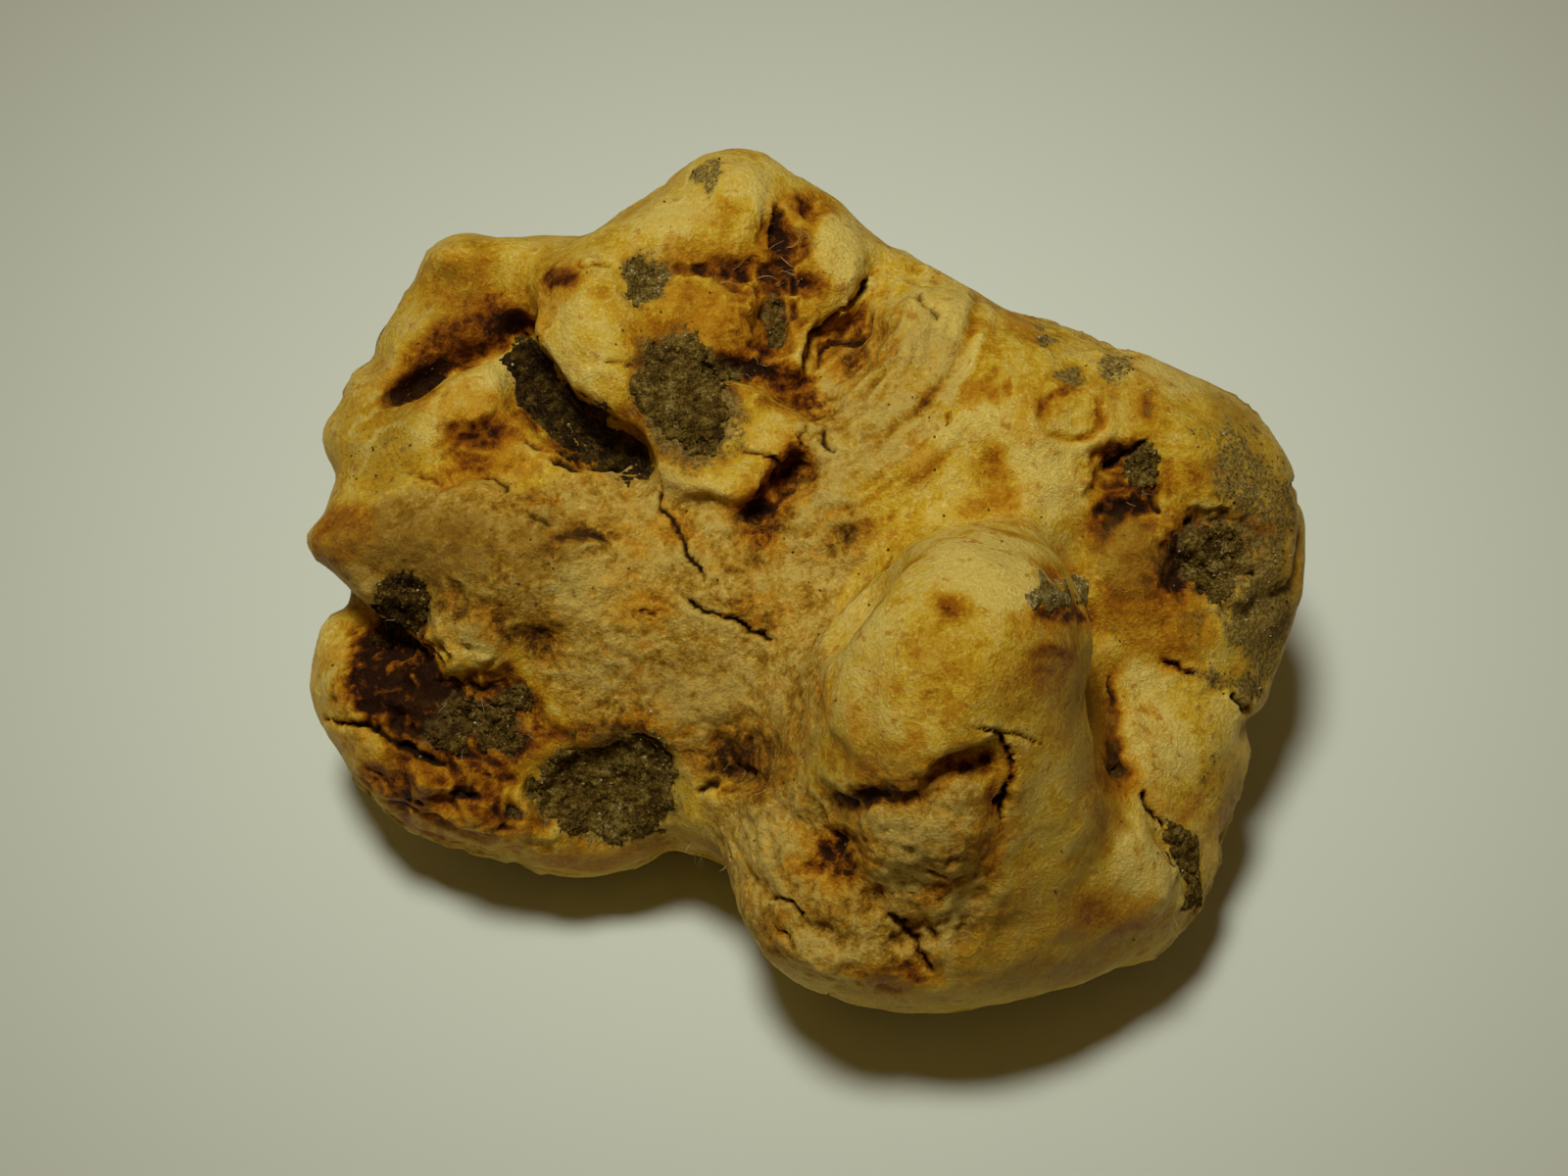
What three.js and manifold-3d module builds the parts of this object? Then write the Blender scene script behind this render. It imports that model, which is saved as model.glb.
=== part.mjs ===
// White truffle, Tuber magnatum: one lumpy fruit body, dug and brushed, with sandy soil still packed
// in its hollows. Millimetres, +Z up. The origin is in the flat spot that the truffle rests on.
//
// The best side of a truffle, its face, leans back from level. Places on the body are given in the
// face's own frame: across it (along +X), up it, and out of it, from a point in the body's middle.

import * as THREE from "three";
import { mergeVertices } from "three/addons/utils/BufferGeometryUtils.js";
import Module from "manifold-3d";

// Driving dimensions.
const FACE_LEAN = THREE.MathUtils.degToRad(35);
const MIDDLE_HEIGHT = 15; // the middle of the body above the surface that it rests on
const OUTER_REACH = 45; // from the middle of the body to a place well outside it
const SOIL_GAP = 0.3; // between packed soil and the wall of its hollow

// How far the form blends from one lobe into the next.
const SOFT_BLEND = 5;
const TIGHT_BLEND = 2.5;

// How finely the meshes follow the form: each icosahedron's face is cut into rows, one more than this.
const BODY_DETAIL = 15;
const SOIL_DETAIL = 3;
const EVENING_ROUNDS = 20;
const EVENING_HOLD = 0.4; // the share of its old place that a corner keeps in each round

// Lobes of the fruit body: middle, radii across, up and out, and turn in the face, in degrees.
const LOBES = [
  { name: "core", at: [1, 0, -1.5], radii: [21.5, 18, 12.5] },
  { name: "crown", at: [-2.6, 17.2, -2.5], radii: [8.6, 8.6, 8] },
  { name: "crown shelf", at: [-10.5, 14, 1.5], radii: [6.2, 6.5, 6.5] },
  { name: "crown lip", at: [-5.3, 9.5, 4], radii: [7.5, 3.8, 6.5], turn: -35, blend: TIGHT_BLEND },
  { name: "ear", at: [-21.6, 13.4, -3], radii: [3.2, 8.2, 6], turn: -26, blend: TIGHT_BLEND },
  { name: "ear rim", at: [-15.5, 16.2, -3.5], radii: [6, 5.1, 6], blend: TIGHT_BLEND },
  { name: "cheek", at: [-19, 9, 0], radii: [7.4, 5.4, 6.5], turn: 15 },
  { name: "flap", at: [-15.5, 1.4, 3.5], radii: [11.6, 5.6, 7], turn: -4, blend: TIGHT_BLEND },
  { name: "flap nose", at: [-25.4, 3.2, 3], radii: [3, 2, 3], turn: -20, blend: TIGHT_BLEND },
  { name: "left foot", at: [-17.4, -7.6, -1.5], radii: [12, 8.3, 8], turn: -26, blend: TIGHT_BLEND },
  { name: "front foot", at: [8.4, -14.6, 5], radii: [12.6, 10.6, 10.5], turn: 3, blend: TIGHT_BLEND },
  { name: "knob root", at: [10.2, -10.5, 9], radii: [9, 9, 10] },
  { name: "knob", at: [8.6, -6, 14.4], radii: [7.2, 9, 11] },
  { name: "knob crown", at: [12, -3, 13.4], radii: [5.6, 6.4, 11], blend: TIGHT_BLEND },
  { name: "heel", at: [19, -14.6, 2], radii: [6.8, 8, 7.6], turn: 25 },
  { name: "hip", at: [22.8, -9.3, 1.5], radii: [5.2, 5.2, 6.5], blend: TIGHT_BLEND },
  { name: "shoulder", at: [21.8, 3.2, -0.5], radii: [9.6, 10.6, 9.5], turn: 20 },
  { name: "saddle", at: [13, 7.4, 1.5], radii: [8.6, 8, 8], turn: -25 },
  { name: "fan", at: [7.4, 11.8, 0.5], radii: [4.6, 7.6, 6.5], turn: 20 },
  { name: "left back", at: [-9, 8, -10], radii: [12.5, 9.5, 7.5] },
  { name: "right back", at: [11.5, 6, -9.5], radii: [11.5, 8, 8] },
  { name: "underside", at: [1.5, -1.2, -7.6], radii: [12, 8, 9] },
];

// Hollows and furrows between the lobes: rounded cuts along a line, from one end to the other.
const HOLLOWS = [
  { name: "central valley", from: [-1, 5.2, 15.5], to: [2, 1.2, 16], radius: 5 },
  { name: "ear furrow", from: [-23, 11, 4.6], to: [-15.8, 16, 6.4], radius: 1.8 },
  { name: "lip furrow", from: [-15, 13.2, 7.6], to: [-8.2, 6.9, 10.8], radius: 1.6 },
  { name: "furrow under the flap", from: [-26, -2, 5.5], to: [-19.5, -4.8, 8.4], radius: 1.7 },
  { name: "knob furrow", from: [17.6, 4, 11], to: [18.6, -10, 12.5], radius: 1.8 },
  { name: "crown dip", from: [-4.5, 17.6, 7.2], to: [0.5, 16.8, 6.8], radius: 1.7 },
  { name: "fold beside the fan", from: [5.2, 18.2, 4.6], to: [1.5, 11, 8.2], radius: 1.4 },
  { name: "cleft between the feet", from: [-5.6, -16.5, 9], to: [-6.4, -19.5, -8], radius: 2.2 },
  { name: "notch behind the hip", from: [30, -9, 4], to: [28, -11.5, -10], radius: 1.2 },
  { name: "cleft in the back", from: [2, 18, -17], to: [-2, 2, -20], radius: 2.6 },
];

// Soil packed into the body: middle on the face, radii of the filled hollow, and turn in the face.
const SOIL_POCKETS = [
  { name: "soil_in_crown_hollow", at: [-5.9, 11.2], radii: [2.5, 3.6, 1.7], turn: 28 },
  { name: "soil_on_crown_shelf", at: [-8, 18.2], radii: [1.9, 2.1, 1.2], turn: -15 },
  { name: "soil_in_lip_furrow", at: [-11.2, 9.8], radii: [4.4, 1.3, 1.5], turn: -42 },
  { name: "soil_under_flap", at: [-22.2, -1.6], radii: [2.5, 1.6, 1.7], turn: -30 },
  { name: "soil_on_left_foot", at: [-17.8, -8], radii: [3, 2.1, 1.4], turn: -25 },
  { name: "soil_in_left_foot_hollow", at: [-10.4, -11.8], radii: [3.7, 2.5, 1.7], turn: 5 },
  { name: "soil_in_shoulder_pit", at: [25.2, 1.4], radii: [2.2, 2.8, 1.5], turn: -20 },
  { name: "soil_in_upper_shoulder_pit", at: [21, 6.6], radii: [1.6, 2.1, 1.4], turn: -15 },
  { name: "soil_in_knob_pit", at: [14.8, -0.8], radii: [1.7, 1.2, 1.3], turn: -15 },
  { name: "soil_in_heel_crack", at: [24, -16], radii: [0.9, 2.5, 1.2], turn: 25 },
];

const SKIN = { color: 0xb89044, roughness: 0.6 };
const SOIL = { color: 0x5f4f2c, roughness: 0.95 };

// The face's frame, the way out of it, and a point of it as a vector.
const faceFrame = new THREE.Matrix4().makeRotationX(FACE_LEAN).setPosition(0, 0, MIDDLE_HEIGHT);
const OUT = new THREE.Vector3(0, 0, 1);
const onFace = (across, up, out) => new THREE.Vector3(across, up, out);

// The same shape with its corners shared between triangles, and nothing kept but their places.
function bareGeometry(geometry) {
  const bare = geometry.clone();
  bare.deleteAttribute("normal");
  bare.deleteAttribute("uv");
  const sameCorner = 1e-4;
  return mergeVertices(bare, sameCorner);
}

// Rounded minimum of two distances: the surfaces meet in a fillet about as wide as the blend.
function blendedMin(a, b, blend) {
  const near = Math.max(blend - Math.abs(a - b), 0) / blend;
  return Math.min(a, b) - (near * near * blend) / 4;
}

// Distance, near enough, from a point of the face's frame to an egg-shaped lobe.
function distanceToLobe(point, { at, radii, turn = 0 }) {
  const local = point.clone().sub(onFace(...at));
  local.applyAxisAngle(OUT, -THREE.MathUtils.degToRad(turn));
  const scaled = local.divide(onFace(...radii));
  const length = scaled.length();
  const slope = scaled.divide(onFace(...radii)).length();
  return slope > 0 ? (length * (length - 1)) / slope : -Math.min(...radii);
}

// Distance from a point of the face's frame to a rounded cut.
function distanceToHollow(point, { from, to, radius }) {
  const line = new THREE.Line3(onFace(...from), onFace(...to));
  return line.closestPointToPoint(point, true, new THREE.Vector3()).distanceTo(point) - radius;
}

// Below zero inside the fruit body, above zero outside it.
function depthInForm(point) {
  let depth = distanceToLobe(point, LOBES[0]);
  for (const lobe of LOBES.slice(1)) {
    depth = blendedMin(depth, distanceToLobe(point, lobe), lobe.blend ?? SOFT_BLEND);
  }
  for (const hollow of HOLLOWS) {
    depth = -blendedMin(-depth, distanceToHollow(point, hollow), TIGHT_BLEND);
  }
  return depth;
}

// The first point of the form met on the way from `start` along `direction`.
function firstPointMet(start, direction) {
  const stride = 0.5;
  const closeEnough = 0.001;
  const probe = start.clone();
  while (depthInForm(probe) > 0) probe.addScaledVector(direction, stride);
  for (let halfStep = stride / 2; halfStep > closeEnough; halfStep /= 2) {
    probe.addScaledVector(direction, depthInForm(probe) > 0 ? halfStep : -halfStep);
  }
  return probe;
}

// Moves a point straight up or down the slope of the form's depth, onto its surface.
function settleOnForm(point) {
  const nudge = 0.05;
  const furthestMove = 1;
  const gentlestSlope = 0.25;
  const passes = 3;
  for (let pass = 0; pass < passes; pass++) {
    const depth = depthInForm(point);
    const slope = new THREE.Vector3(
      ...["x", "y", "z"].map((axis) => {
        const beside = point.clone();
        beside[axis] += nudge;
        return (depthInForm(beside) - depth) / nudge;
      }),
    );
    const move = depth / Math.max(slope.lengthSq(), gentlestSlope);
    point.addScaledVector(slope, -THREE.MathUtils.clamp(move, -furthestMove, furthestMove));
  }
  return point;
}

// For each corner of a closed mesh, the corners that share an edge with it.
function neighboursOf(geometry) {
  const neighbours = Array.from({ length: geometry.getAttribute("position").count }, () => new Set());
  const index = geometry.index.array;
  for (let i = 0; i < index.length; i += 3) {
    for (let side = 0; side < 3; side++) {
      neighbours[index[i + side]].add(index[i + ((side + 1) % 3)]);
      neighbours[index[i + side]].add(index[i + ((side + 2) % 3)]);
    }
  }
  return neighbours;
}

// The fruit body: a ball of triangles shrunk onto the form, then evened out over its bumps and folds.
function fruitBodyGeometry() {
  const ball = bareGeometry(new THREE.IcosahedronGeometry(1, BODY_DETAIL));
  const positions = ball.getAttribute("position");
  let corners = Array.from({ length: positions.count }, (_, i) => {
    const ray = new THREE.Vector3().fromBufferAttribute(positions, i).normalize();
    return firstPointMet(ray.clone().multiplyScalar(OUTER_REACH), ray.negate());
  });
  const neighbours = neighboursOf(ball);
  for (let round = 0; round < EVENING_ROUNDS; round++) {
    corners = corners.map((corner, i) => {
      const average = new THREE.Vector3();
      for (const neighbour of neighbours[i]) average.add(corners[neighbour]);
      return settleOnForm(average.divideScalar(neighbours[i].size).lerp(corner, EVENING_HOLD));
    });
  }
  corners.forEach((corner, i) => positions.setXYZ(i, ...corner.applyMatrix4(faceFrame)));
  return ball;
}

// An egg centred on the form's surface at a pocket, turned with the face, with `inset` off its radii.
function pocketGeometry({ at, radii, turn }, inset) {
  const middle = firstPointMet(onFace(...at, OUTER_REACH), OUT.clone().negate());
  return new THREE.IcosahedronGeometry(1, SOIL_DETAIL)
    .scale(...radii.map((radius) => radius - inset))
    .rotateZ(THREE.MathUtils.degToRad(turn))
    .translate(middle.x, middle.y, middle.z)
    .applyMatrix4(faceFrame);
}

// Everything below the surface that the truffle rests on.
function groundGeometry() {
  const side = 120;
  return new THREE.BoxGeometry(side, side, side).translate(0, 0, -side / 2);
}

const wasm = await Module();
wasm.setup();

function solidFrom(geometry) {
  const bare = bareGeometry(geometry);
  return new wasm.Manifold(
    new wasm.Mesh({
      numProp: 3,
      vertProperties: new Float32Array(bare.getAttribute("position").array),
      triVerts: new Uint32Array(bare.index.array),
    }),
  );
}

function meshFrom(solid, name, look) {
  const { vertProperties, triVerts } = solid.getMesh();
  const geometry = new THREE.BufferGeometry()
    .setAttribute("position", new THREE.BufferAttribute(vertProperties, 3))
    .setIndex(new THREE.BufferAttribute(triVerts, 1));
  geometry.computeVertexNormals();
  const mesh = new THREE.Mesh(geometry, new THREE.MeshStandardMaterial(look));
  mesh.name = name;
  return mesh;
}

const truffle = new THREE.Group();
const wholeForm = solidFrom(fruitBodyGeometry()).subtract(solidFrom(groundGeometry()));

let fruitBody = wholeForm;
for (const pocket of SOIL_POCKETS) {
  fruitBody = fruitBody.subtract(solidFrom(pocketGeometry(pocket, 0)));
  const soil = solidFrom(pocketGeometry(pocket, SOIL_GAP)).intersect(wholeForm);
  truffle.add(meshFrom(soil, pocket.name, SOIL));
}
truffle.add(meshFrom(fruitBody, "fruit_body", SKIN));

export default truffle;
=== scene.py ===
import bmesh
import bpy
import numpy as np
from mathutils import Matrix, Quaternion, Vector


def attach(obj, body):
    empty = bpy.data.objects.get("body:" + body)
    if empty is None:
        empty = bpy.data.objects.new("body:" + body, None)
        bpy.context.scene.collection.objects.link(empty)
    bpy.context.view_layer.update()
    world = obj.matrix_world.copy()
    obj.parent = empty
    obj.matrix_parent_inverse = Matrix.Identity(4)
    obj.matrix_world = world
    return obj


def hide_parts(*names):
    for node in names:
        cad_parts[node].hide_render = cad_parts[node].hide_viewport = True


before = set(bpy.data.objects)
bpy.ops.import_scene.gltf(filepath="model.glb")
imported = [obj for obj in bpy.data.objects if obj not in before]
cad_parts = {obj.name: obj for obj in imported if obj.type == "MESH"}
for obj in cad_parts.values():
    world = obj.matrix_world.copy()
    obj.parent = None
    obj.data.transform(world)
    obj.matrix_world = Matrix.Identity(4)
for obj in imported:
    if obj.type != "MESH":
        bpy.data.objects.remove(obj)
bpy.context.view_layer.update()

MM = 0.001


# The camera. It looks squarely at the truffle's best side, its face, which leans back from level,
# so it looks down from above and in front, with the middle of the body in the middle of the frame.
FACE_LEAN = np.radians(35)
BODY_MIDDLE = np.array([0, 0, 15]) * MM
FACE_UP = np.array([0, np.cos(FACE_LEAN), np.sin(FACE_LEAN)])
FACE_OUT = np.array([0, -np.sin(FACE_LEAN), np.cos(FACE_LEAN)])
CAMERA_REACH = 300 * MM
FRAME_WIDTH = 94.1 * MM


def in_scene(name, data):
    """A new object in the scene, at the origin, unturned and unscaled."""
    made = bpy.data.objects.new(name, data)
    bpy.context.scene.collection.objects.link(made)
    return made


camera = in_scene("camera", bpy.data.cameras.new("camera"))
camera.data.sensor_width = 36
camera.data.lens = camera.data.sensor_width * CAMERA_REACH / FRAME_WIDTH
camera.data.clip_start = 10 * MM
camera.location = Vector(BODY_MIDDLE + FACE_OUT * CAMERA_REACH)
camera.rotation_euler = (FACE_LEAN, 0, 0)
bpy.context.scene.camera = camera


# The fruit body: one solid mass of firm flesh in a thin skin. It grows between stones and roots, which
# leave its lobes, folds and pits, and drying and digging have cracked it and torn flaps off its face.
FORM_NET = 0.5 * MM
BODY_NET = 0.515 * MM


def shape_of(mesh):
    """A shape to work on, with the mesh's faces."""
    shape = bmesh.new()
    shape.from_mesh(mesh)
    return shape


def into_mesh(shape, mesh):
    """Writes a shape into a mesh, and lets the shape go."""
    shape.to_mesh(mesh)
    shape.free()
    return mesh


def merged_copy(nodes):
    """One mesh of the CAD nodes, with their corners joined."""
    shape = bmesh.new()
    for node in nodes:
        shape.from_mesh(node.data)
    bmesh.ops.remove_doubles(shape, verts=shape.verts, dist=0.001 * MM)
    return into_mesh(shape, bpy.data.meshes.new("copy"))


def evened(mesh, spacing):
    """The same closed shape as an even net of small faces."""
    holder = in_scene("evened", mesh)
    net = holder.modifiers.new("net", "REMESH")
    net.mode = "VOXEL"
    net.voxel_size = spacing
    graph = bpy.context.evaluated_depsgraph_get()
    result = bpy.data.meshes.new_from_object(holder.evaluated_get(graph))
    bpy.data.objects.remove(holder)
    return result


def smoothed(mesh, rounds):
    """Smooths the mesh in place, each corner moving towards its neighbours."""
    shape = shape_of(mesh)
    for _ in range(rounds):
        bmesh.ops.smooth_vert(
            shape, verts=shape.verts, factor=0.5, use_axis_x=True, use_axis_y=True, use_axis_z=True
        )
    return into_mesh(shape, mesh)


def corners_of(mesh):
    """The places of a mesh's corners, and the ways out of it there."""
    points = np.zeros(len(mesh.vertices) * 3)
    mesh.vertices.foreach_get("co", points)
    normals = np.array([corner.vector for corner in mesh.vertex_normals])
    return points.reshape(-1, 3), normals


def place_corners(mesh, points):
    """Moves a mesh's corners to new places."""
    mesh.vertices.foreach_set("co", np.asarray(points, np.float32).ravel())
    mesh.update()


def eased(low, high, value):
    """0 below low, 1 above high, and a smooth rise between them."""
    share = np.clip((value - low) / (high - low), 0, 1)
    return share * share * (3 - 2 * share)


LATTICE = np.random.default_rng(7).uniform(-1, 1, (64, 64, 64))


def speckle(places, size, seed=0):
    """Smooth random values from -1 to 1, in blobs about as wide as size; all in millimetres."""
    cells = places / size + seed * 17.3
    corner = np.floor(cells).astype(int)
    share = cells - corner
    share = share * share * (3 - 2 * share)
    total = np.zeros(len(places))
    for step in np.ndindex(2, 2, 2):
        weight = np.prod(np.where(step, share, 1 - share), axis=1)
        at = (corner + step) % 64
        total += weight * LATTICE[at[:, 0], at[:, 1], at[:, 2]]
    return total


class Side:
    """A mesh's corners as one side of the truffle shows them: millimetres across and up, seen square on.

    Places wander a little, by ragged millimetres, so that whatever is drawn there gets a natural edge."""

    def __init__(self, points, normals, up=FACE_UP, out=FACE_OUT, ragged=0.3, through=False):
        self.solid = (points - BODY_MIDDLE) / MM
        reach = CAMERA_REACH / MM
        nearer = reach / (reach - self.solid @ out)
        wander = [
            speckle(self.solid, 1.6, seed) + 0.6 * speckle(self.solid, 0.7, seed + 1) for seed in (1, 3)
        ]
        self.across = self.solid @ np.cross(up, out) * nearer + ragged * wander[0]
        self.up = self.solid @ up * nearer + ragged * wander[1]
        to_eye = out * reach - self.solid
        to_eye /= np.linalg.norm(to_eye, axis=1)[:, None]
        self.shown = eased(0.02, 0.3, np.einsum("ij,ij->i", normals, to_eye))
        if through:
            self.shown = np.ones(len(points))
        self.jagged = 0.16 * speckle(self.solid, 0.9, 31) + 0.1 * speckle(self.solid, 0.4, 32)
        self.uneven = 0.8 + 0.5 * speckle(self.solid, 1.3, 33)
        self.clumps = speckle(self.solid, 1.1, 34)
        self.bits = speckle(self.solid, 0.5, 35)

    def _beside(self, places):
        """Distance to a line, positive on its left, and how far along it, from 0 to 1."""
        places = np.array(places, float)
        lengths = np.linalg.norm(np.diff(places, axis=0), axis=1)
        starts = np.concatenate([[0], np.cumsum(lengths)])
        best = np.full(len(self.across), 1e9)
        signed = best.copy()
        along = np.zeros(len(best))
        for start, end, length, before in zip(places[:-1], places[1:], lengths, starts):
            way = (end - start) / length
            dx, dy = self.across - start[0], self.up - start[1]
            run = np.clip(dx * way[0] + dy * way[1], 0, length)
            away = np.hypot(dx - run * way[0], dy - run * way[1])
            left = np.where(way[0] * dy - way[1] * dx >= 0, 1, -1)
            closer = away < best
            best = np.where(closer, away, best)
            signed = np.where(closer, away * left, signed)
            along = np.where(closer, (before + run) / starts[-1], along)
        return signed, along

    def line(self, places, width, fade=5):
        """1 on a line, falling away over width, and fading towards the line's ends."""
        signed, along = self._beside(places)
        ends = np.sqrt(np.clip(fade * along * (1 - along), 0, 1))
        return self.shown * ends * np.exp(-((signed / width) ** 2))

    def ledge(self, places, high, low, reach, edge=0.2):
        """A step along a line: lifted by high on its left and sunk by low on its right, over reach."""
        signed, along = self._beside(places)
        ends = np.sqrt(np.clip(6 * along * (1 - along), 0, 1))
        high_side = eased(-edge, edge, signed)
        rise = high * high_side * np.exp(-np.maximum(signed, 0) / reach)
        drop = low * (1 - high_side) * np.exp(-np.maximum(-signed, 0) / reach)
        return self.shown * ends * (rise - drop)

    def crack(self, places, width, deep):
        """A torn crack: its course is jagged, its width uneven, and its edges curl up a little."""
        signed, along = self._beside(places)
        signed = signed + self.jagged
        ends = np.clip(9 * along * (1 - along), 0, 1)
        width = width * self.uneven * (0.35 + 0.65 * ends) + 0.03
        cut = np.exp(-((signed / width) ** 2))
        return self.shown * ends * (0.1 * np.exp(-((signed / 0.7) ** 2)) - (deep + 0.1) * cut)

    def _oval(self, across, up, wide, high, turn=0):
        """Distance from an oval's middle, as a share of its radius that way."""
        angle = np.radians(turn)
        dx, dy = self.across - across, self.up - up
        x = (dx * np.cos(angle) + dy * np.sin(angle)) / wide
        y = (dy * np.cos(angle) - dx * np.sin(angle)) / high
        return np.hypot(x, y)

    def spot(self, across, up, wide, high, turn=0, edge=0.6):
        """1 in the middle of an oval, falling to 0 at its edge; edge is the share that is slope."""
        return self.shown * eased(0, edge, 1 + edge / 2 - self._oval(across, up, wide, high, turn))

    def ring(self, across, up, wide, high, width):
        """1 on an oval ring, falling away over width."""
        away = (self._oval(across, up, wide, high) - 1) * min(wide, high)
        return self.shown * np.exp(-((away / width) ** 2))


def lifted(points, normals, lift, out=FACE_OUT):
    """Moves corners out by lift, in millimetres, halfway between their own way out and the side's."""
    way = normals + out
    way /= np.maximum(np.linalg.norm(way, axis=1), 0.3)[:, None]
    return points + way * lift[:, None] * MM


# Its large forms come first, on a coarse net: the ear and the furrow under it, the crown with its torn
# lip, the fan of creased skin, the flap, the pits in the shoulder, and the mouth torn under the knob.
body_mesh = smoothed(evened(merged_copy(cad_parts.values()), FORM_NET), 14)
points, normals = corners_of(body_mesh)
outline = Side(points, normals, through=True)
corners_out = (
    0.8 * outline.spot(-20.4, 20.4, 1.8, 1.6, 0, 1)
    + 0.7 * outline.spot(-3.4, 25.2, 3, 1.5, 0, 1)
    - 0.5 * outline.spot(-24.6, 13.7, 1, 0.8, 0, 1)
    + 0.4 * outline.spot(-27.2, 9, 1.6, 1.4, 0, 1)
    + 0.6 * outline.spot(-28, 2.6, 1.3, 1, 0, 1)
    - 0.7 * outline.spot(-27, -0.6, 1.1, 0.7, 0, 1)
    - 0.9 * outline.spot(28.9, -8.4, 1.2, 0.8, 0, 1)
    + 0.5 * outline.spot(-5.2, -14.2, 0.8, 1.6, 0, 1)
    + 0.9 * outline.line([(-15.4, -15.6), (-11.8, -16.4), (-7.6, -15.6)], 1.3)
    + 0.25 * speckle(outline.solid, 2.4, 13)
    + 0.12 * speckle(outline.solid, 1.1, 14)
)
points = lifted(points, normals, corners_out, 0)
face = Side(points, normals, ragged=0.4)
spot, line, ledge = face.spot, face.line, face.ledge

ear = (
    -1.7 * spot(-20.4, 16.2, 4.8, 2.4, 30, 1)
    - 3.4 * line([(-24.2, 10.9), (-22.5, 12), (-20, 13.2), (-18, 14.6), (-16, 16.2), (-15, 17)], 0.8)
    - 2.0 * spot(-16.2, 16.1, 1, 0.8)
    + ledge([(-15.8, 15.8), (-17.6, 14.2), (-20, 12.6), (-22.3, 11.4), (-24.3, 10.5)], 0.9, 1.2, 1.8)
    + 0.6 * line([(-24.2, 12.5), (-23.4, 15.5), (-21.6, 18.6), (-20.4, 20.2)], 0.8)
    - 0.6 * line([(-18.5, 18.8), (-16.6, 18.3), (-15, 17.4)], 0.8)
    - 0.4 * line([(-21.6, 19.2), (-19.6, 18.2), (-17.6, 17)], 0.5)
)
cheek = (
    0.5 * line([(-24, 9.8), (-20.5, 11.9), (-17.2, 14.3)], 1.2)
    - 1.0 * spot(-18.4, 8.5, 2.6, 1.4, 0, 1)
    - 0.7 * spot(-16.4, 10.4, 1, 1.6, 0, 1)
    + 0.15 * spot(-18.6, 10.8, 1.6, 1.1, 0, 1)
    - 1.0 * line([(-22.6, 6.2), (-20.5, 6.2), (-18.6, 6.5), (-16.4, 6)], 0.45)
    + 0.4 * spot(-22.4, 8, 1.6, 1.3, 0, 1)
)
lip = (
    -3.2 * line([(-16, 14.6), (-15.1, 12.3), (-13.8, 10.4), (-11.8, 9), (-9.8, 8), (-7.8, 6.8)], 1.2)
    + ledge([(-15.6, 16.4), (-14.9, 15), (-14.1, 13.6), (-13.2, 12.7), (-12.8, 11.6), (-11.4, 11.2),
            (-10.4, 10.2), (-9.2, 9.7), (-8.5, 8.4), (-7.6, 7), (-7, 6)], 0.7, 1.5, 2.6, 0.15)
    + ledge([(-7.3, 6.2), (-5.6, 5.6), (-4.4, 5.9), (-3.2, 5.5), (-2.2, 5.3), (-1.5, 6), (-0.7, 6.2),
            (-0.3, 7.4), (0.5, 8.2), (1.8, 8.6)], 0.8, 1.5, 1.5, 0.15)
    - 1.8 * spot(-1.3, 4.7, 1.4, 1)
    - 1.4 * spot(0.8, 7, 1.1, 1.6, -20)
    + ledge([(-7.8, 6.4), (-9, 7), (-10.8, 7.2), (-12.6, 7.5), (-14.4, 8.2)], 0.3, 0.8, 0.9, 0.12)
    + ledge([(-12.4, 8.6), (-13.6, 9), (-15, 9.2), (-16, 9.4)], 0.3, 0.5, 0.8, 0.12)
)
crown = (
    0.35 * spot(-12, 15.6, 3, 3.6, 0, 0.4)
    - 1.2 * spot(-5.9, 11.6, 2.9, 4.3, 25, 0.8)
    + 0.9 * spot(-5.2, 16.4, 2.7, 1.9, 0, 0.9)
    - 2.6 * line([(-4.9, 13.7), (-3, 13.5), (-1.6, 13), (-0.6, 12.3), (0.6, 11.5), (2.4, 10.3)], 0.55)
    - 1.5 * line([(-6.8, 19.8), (-4.6, 19), (-2.6, 18.6), (-0.5, 18.6), (1, 18.2), (1.9, 18.8)], 0.7)
    - 0.9 * spot(1.2, 18.3, 0.8, 0.8)
    - 1.0 * spot(-0.1, 20.6, 1.5, 1.4, 0, 1)
    - 1.2 * spot(-0.5, 22, 0.8, 1.2, -10)
    - 0.8 * spot(1.5, 22.9, 0.9, 0.6, -30)
    - 0.8 * spot(-0.7, 15.6, 1.6, 2.2, 0, 1)
    + 0.9 * spot(3.3, 19.8, 1.7, 2.6, 15, 0.8)
    - 0.8 * spot(-8.2, 18.4, 1.5, 1.5, 0, 1)
    + 0.4 * spot(-6.5, 22, 3, 1.2, 20, 1)
    + 0.5 * spot(-2.4, 23.6, 1.6, 1.6, 0, 1)
)
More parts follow.
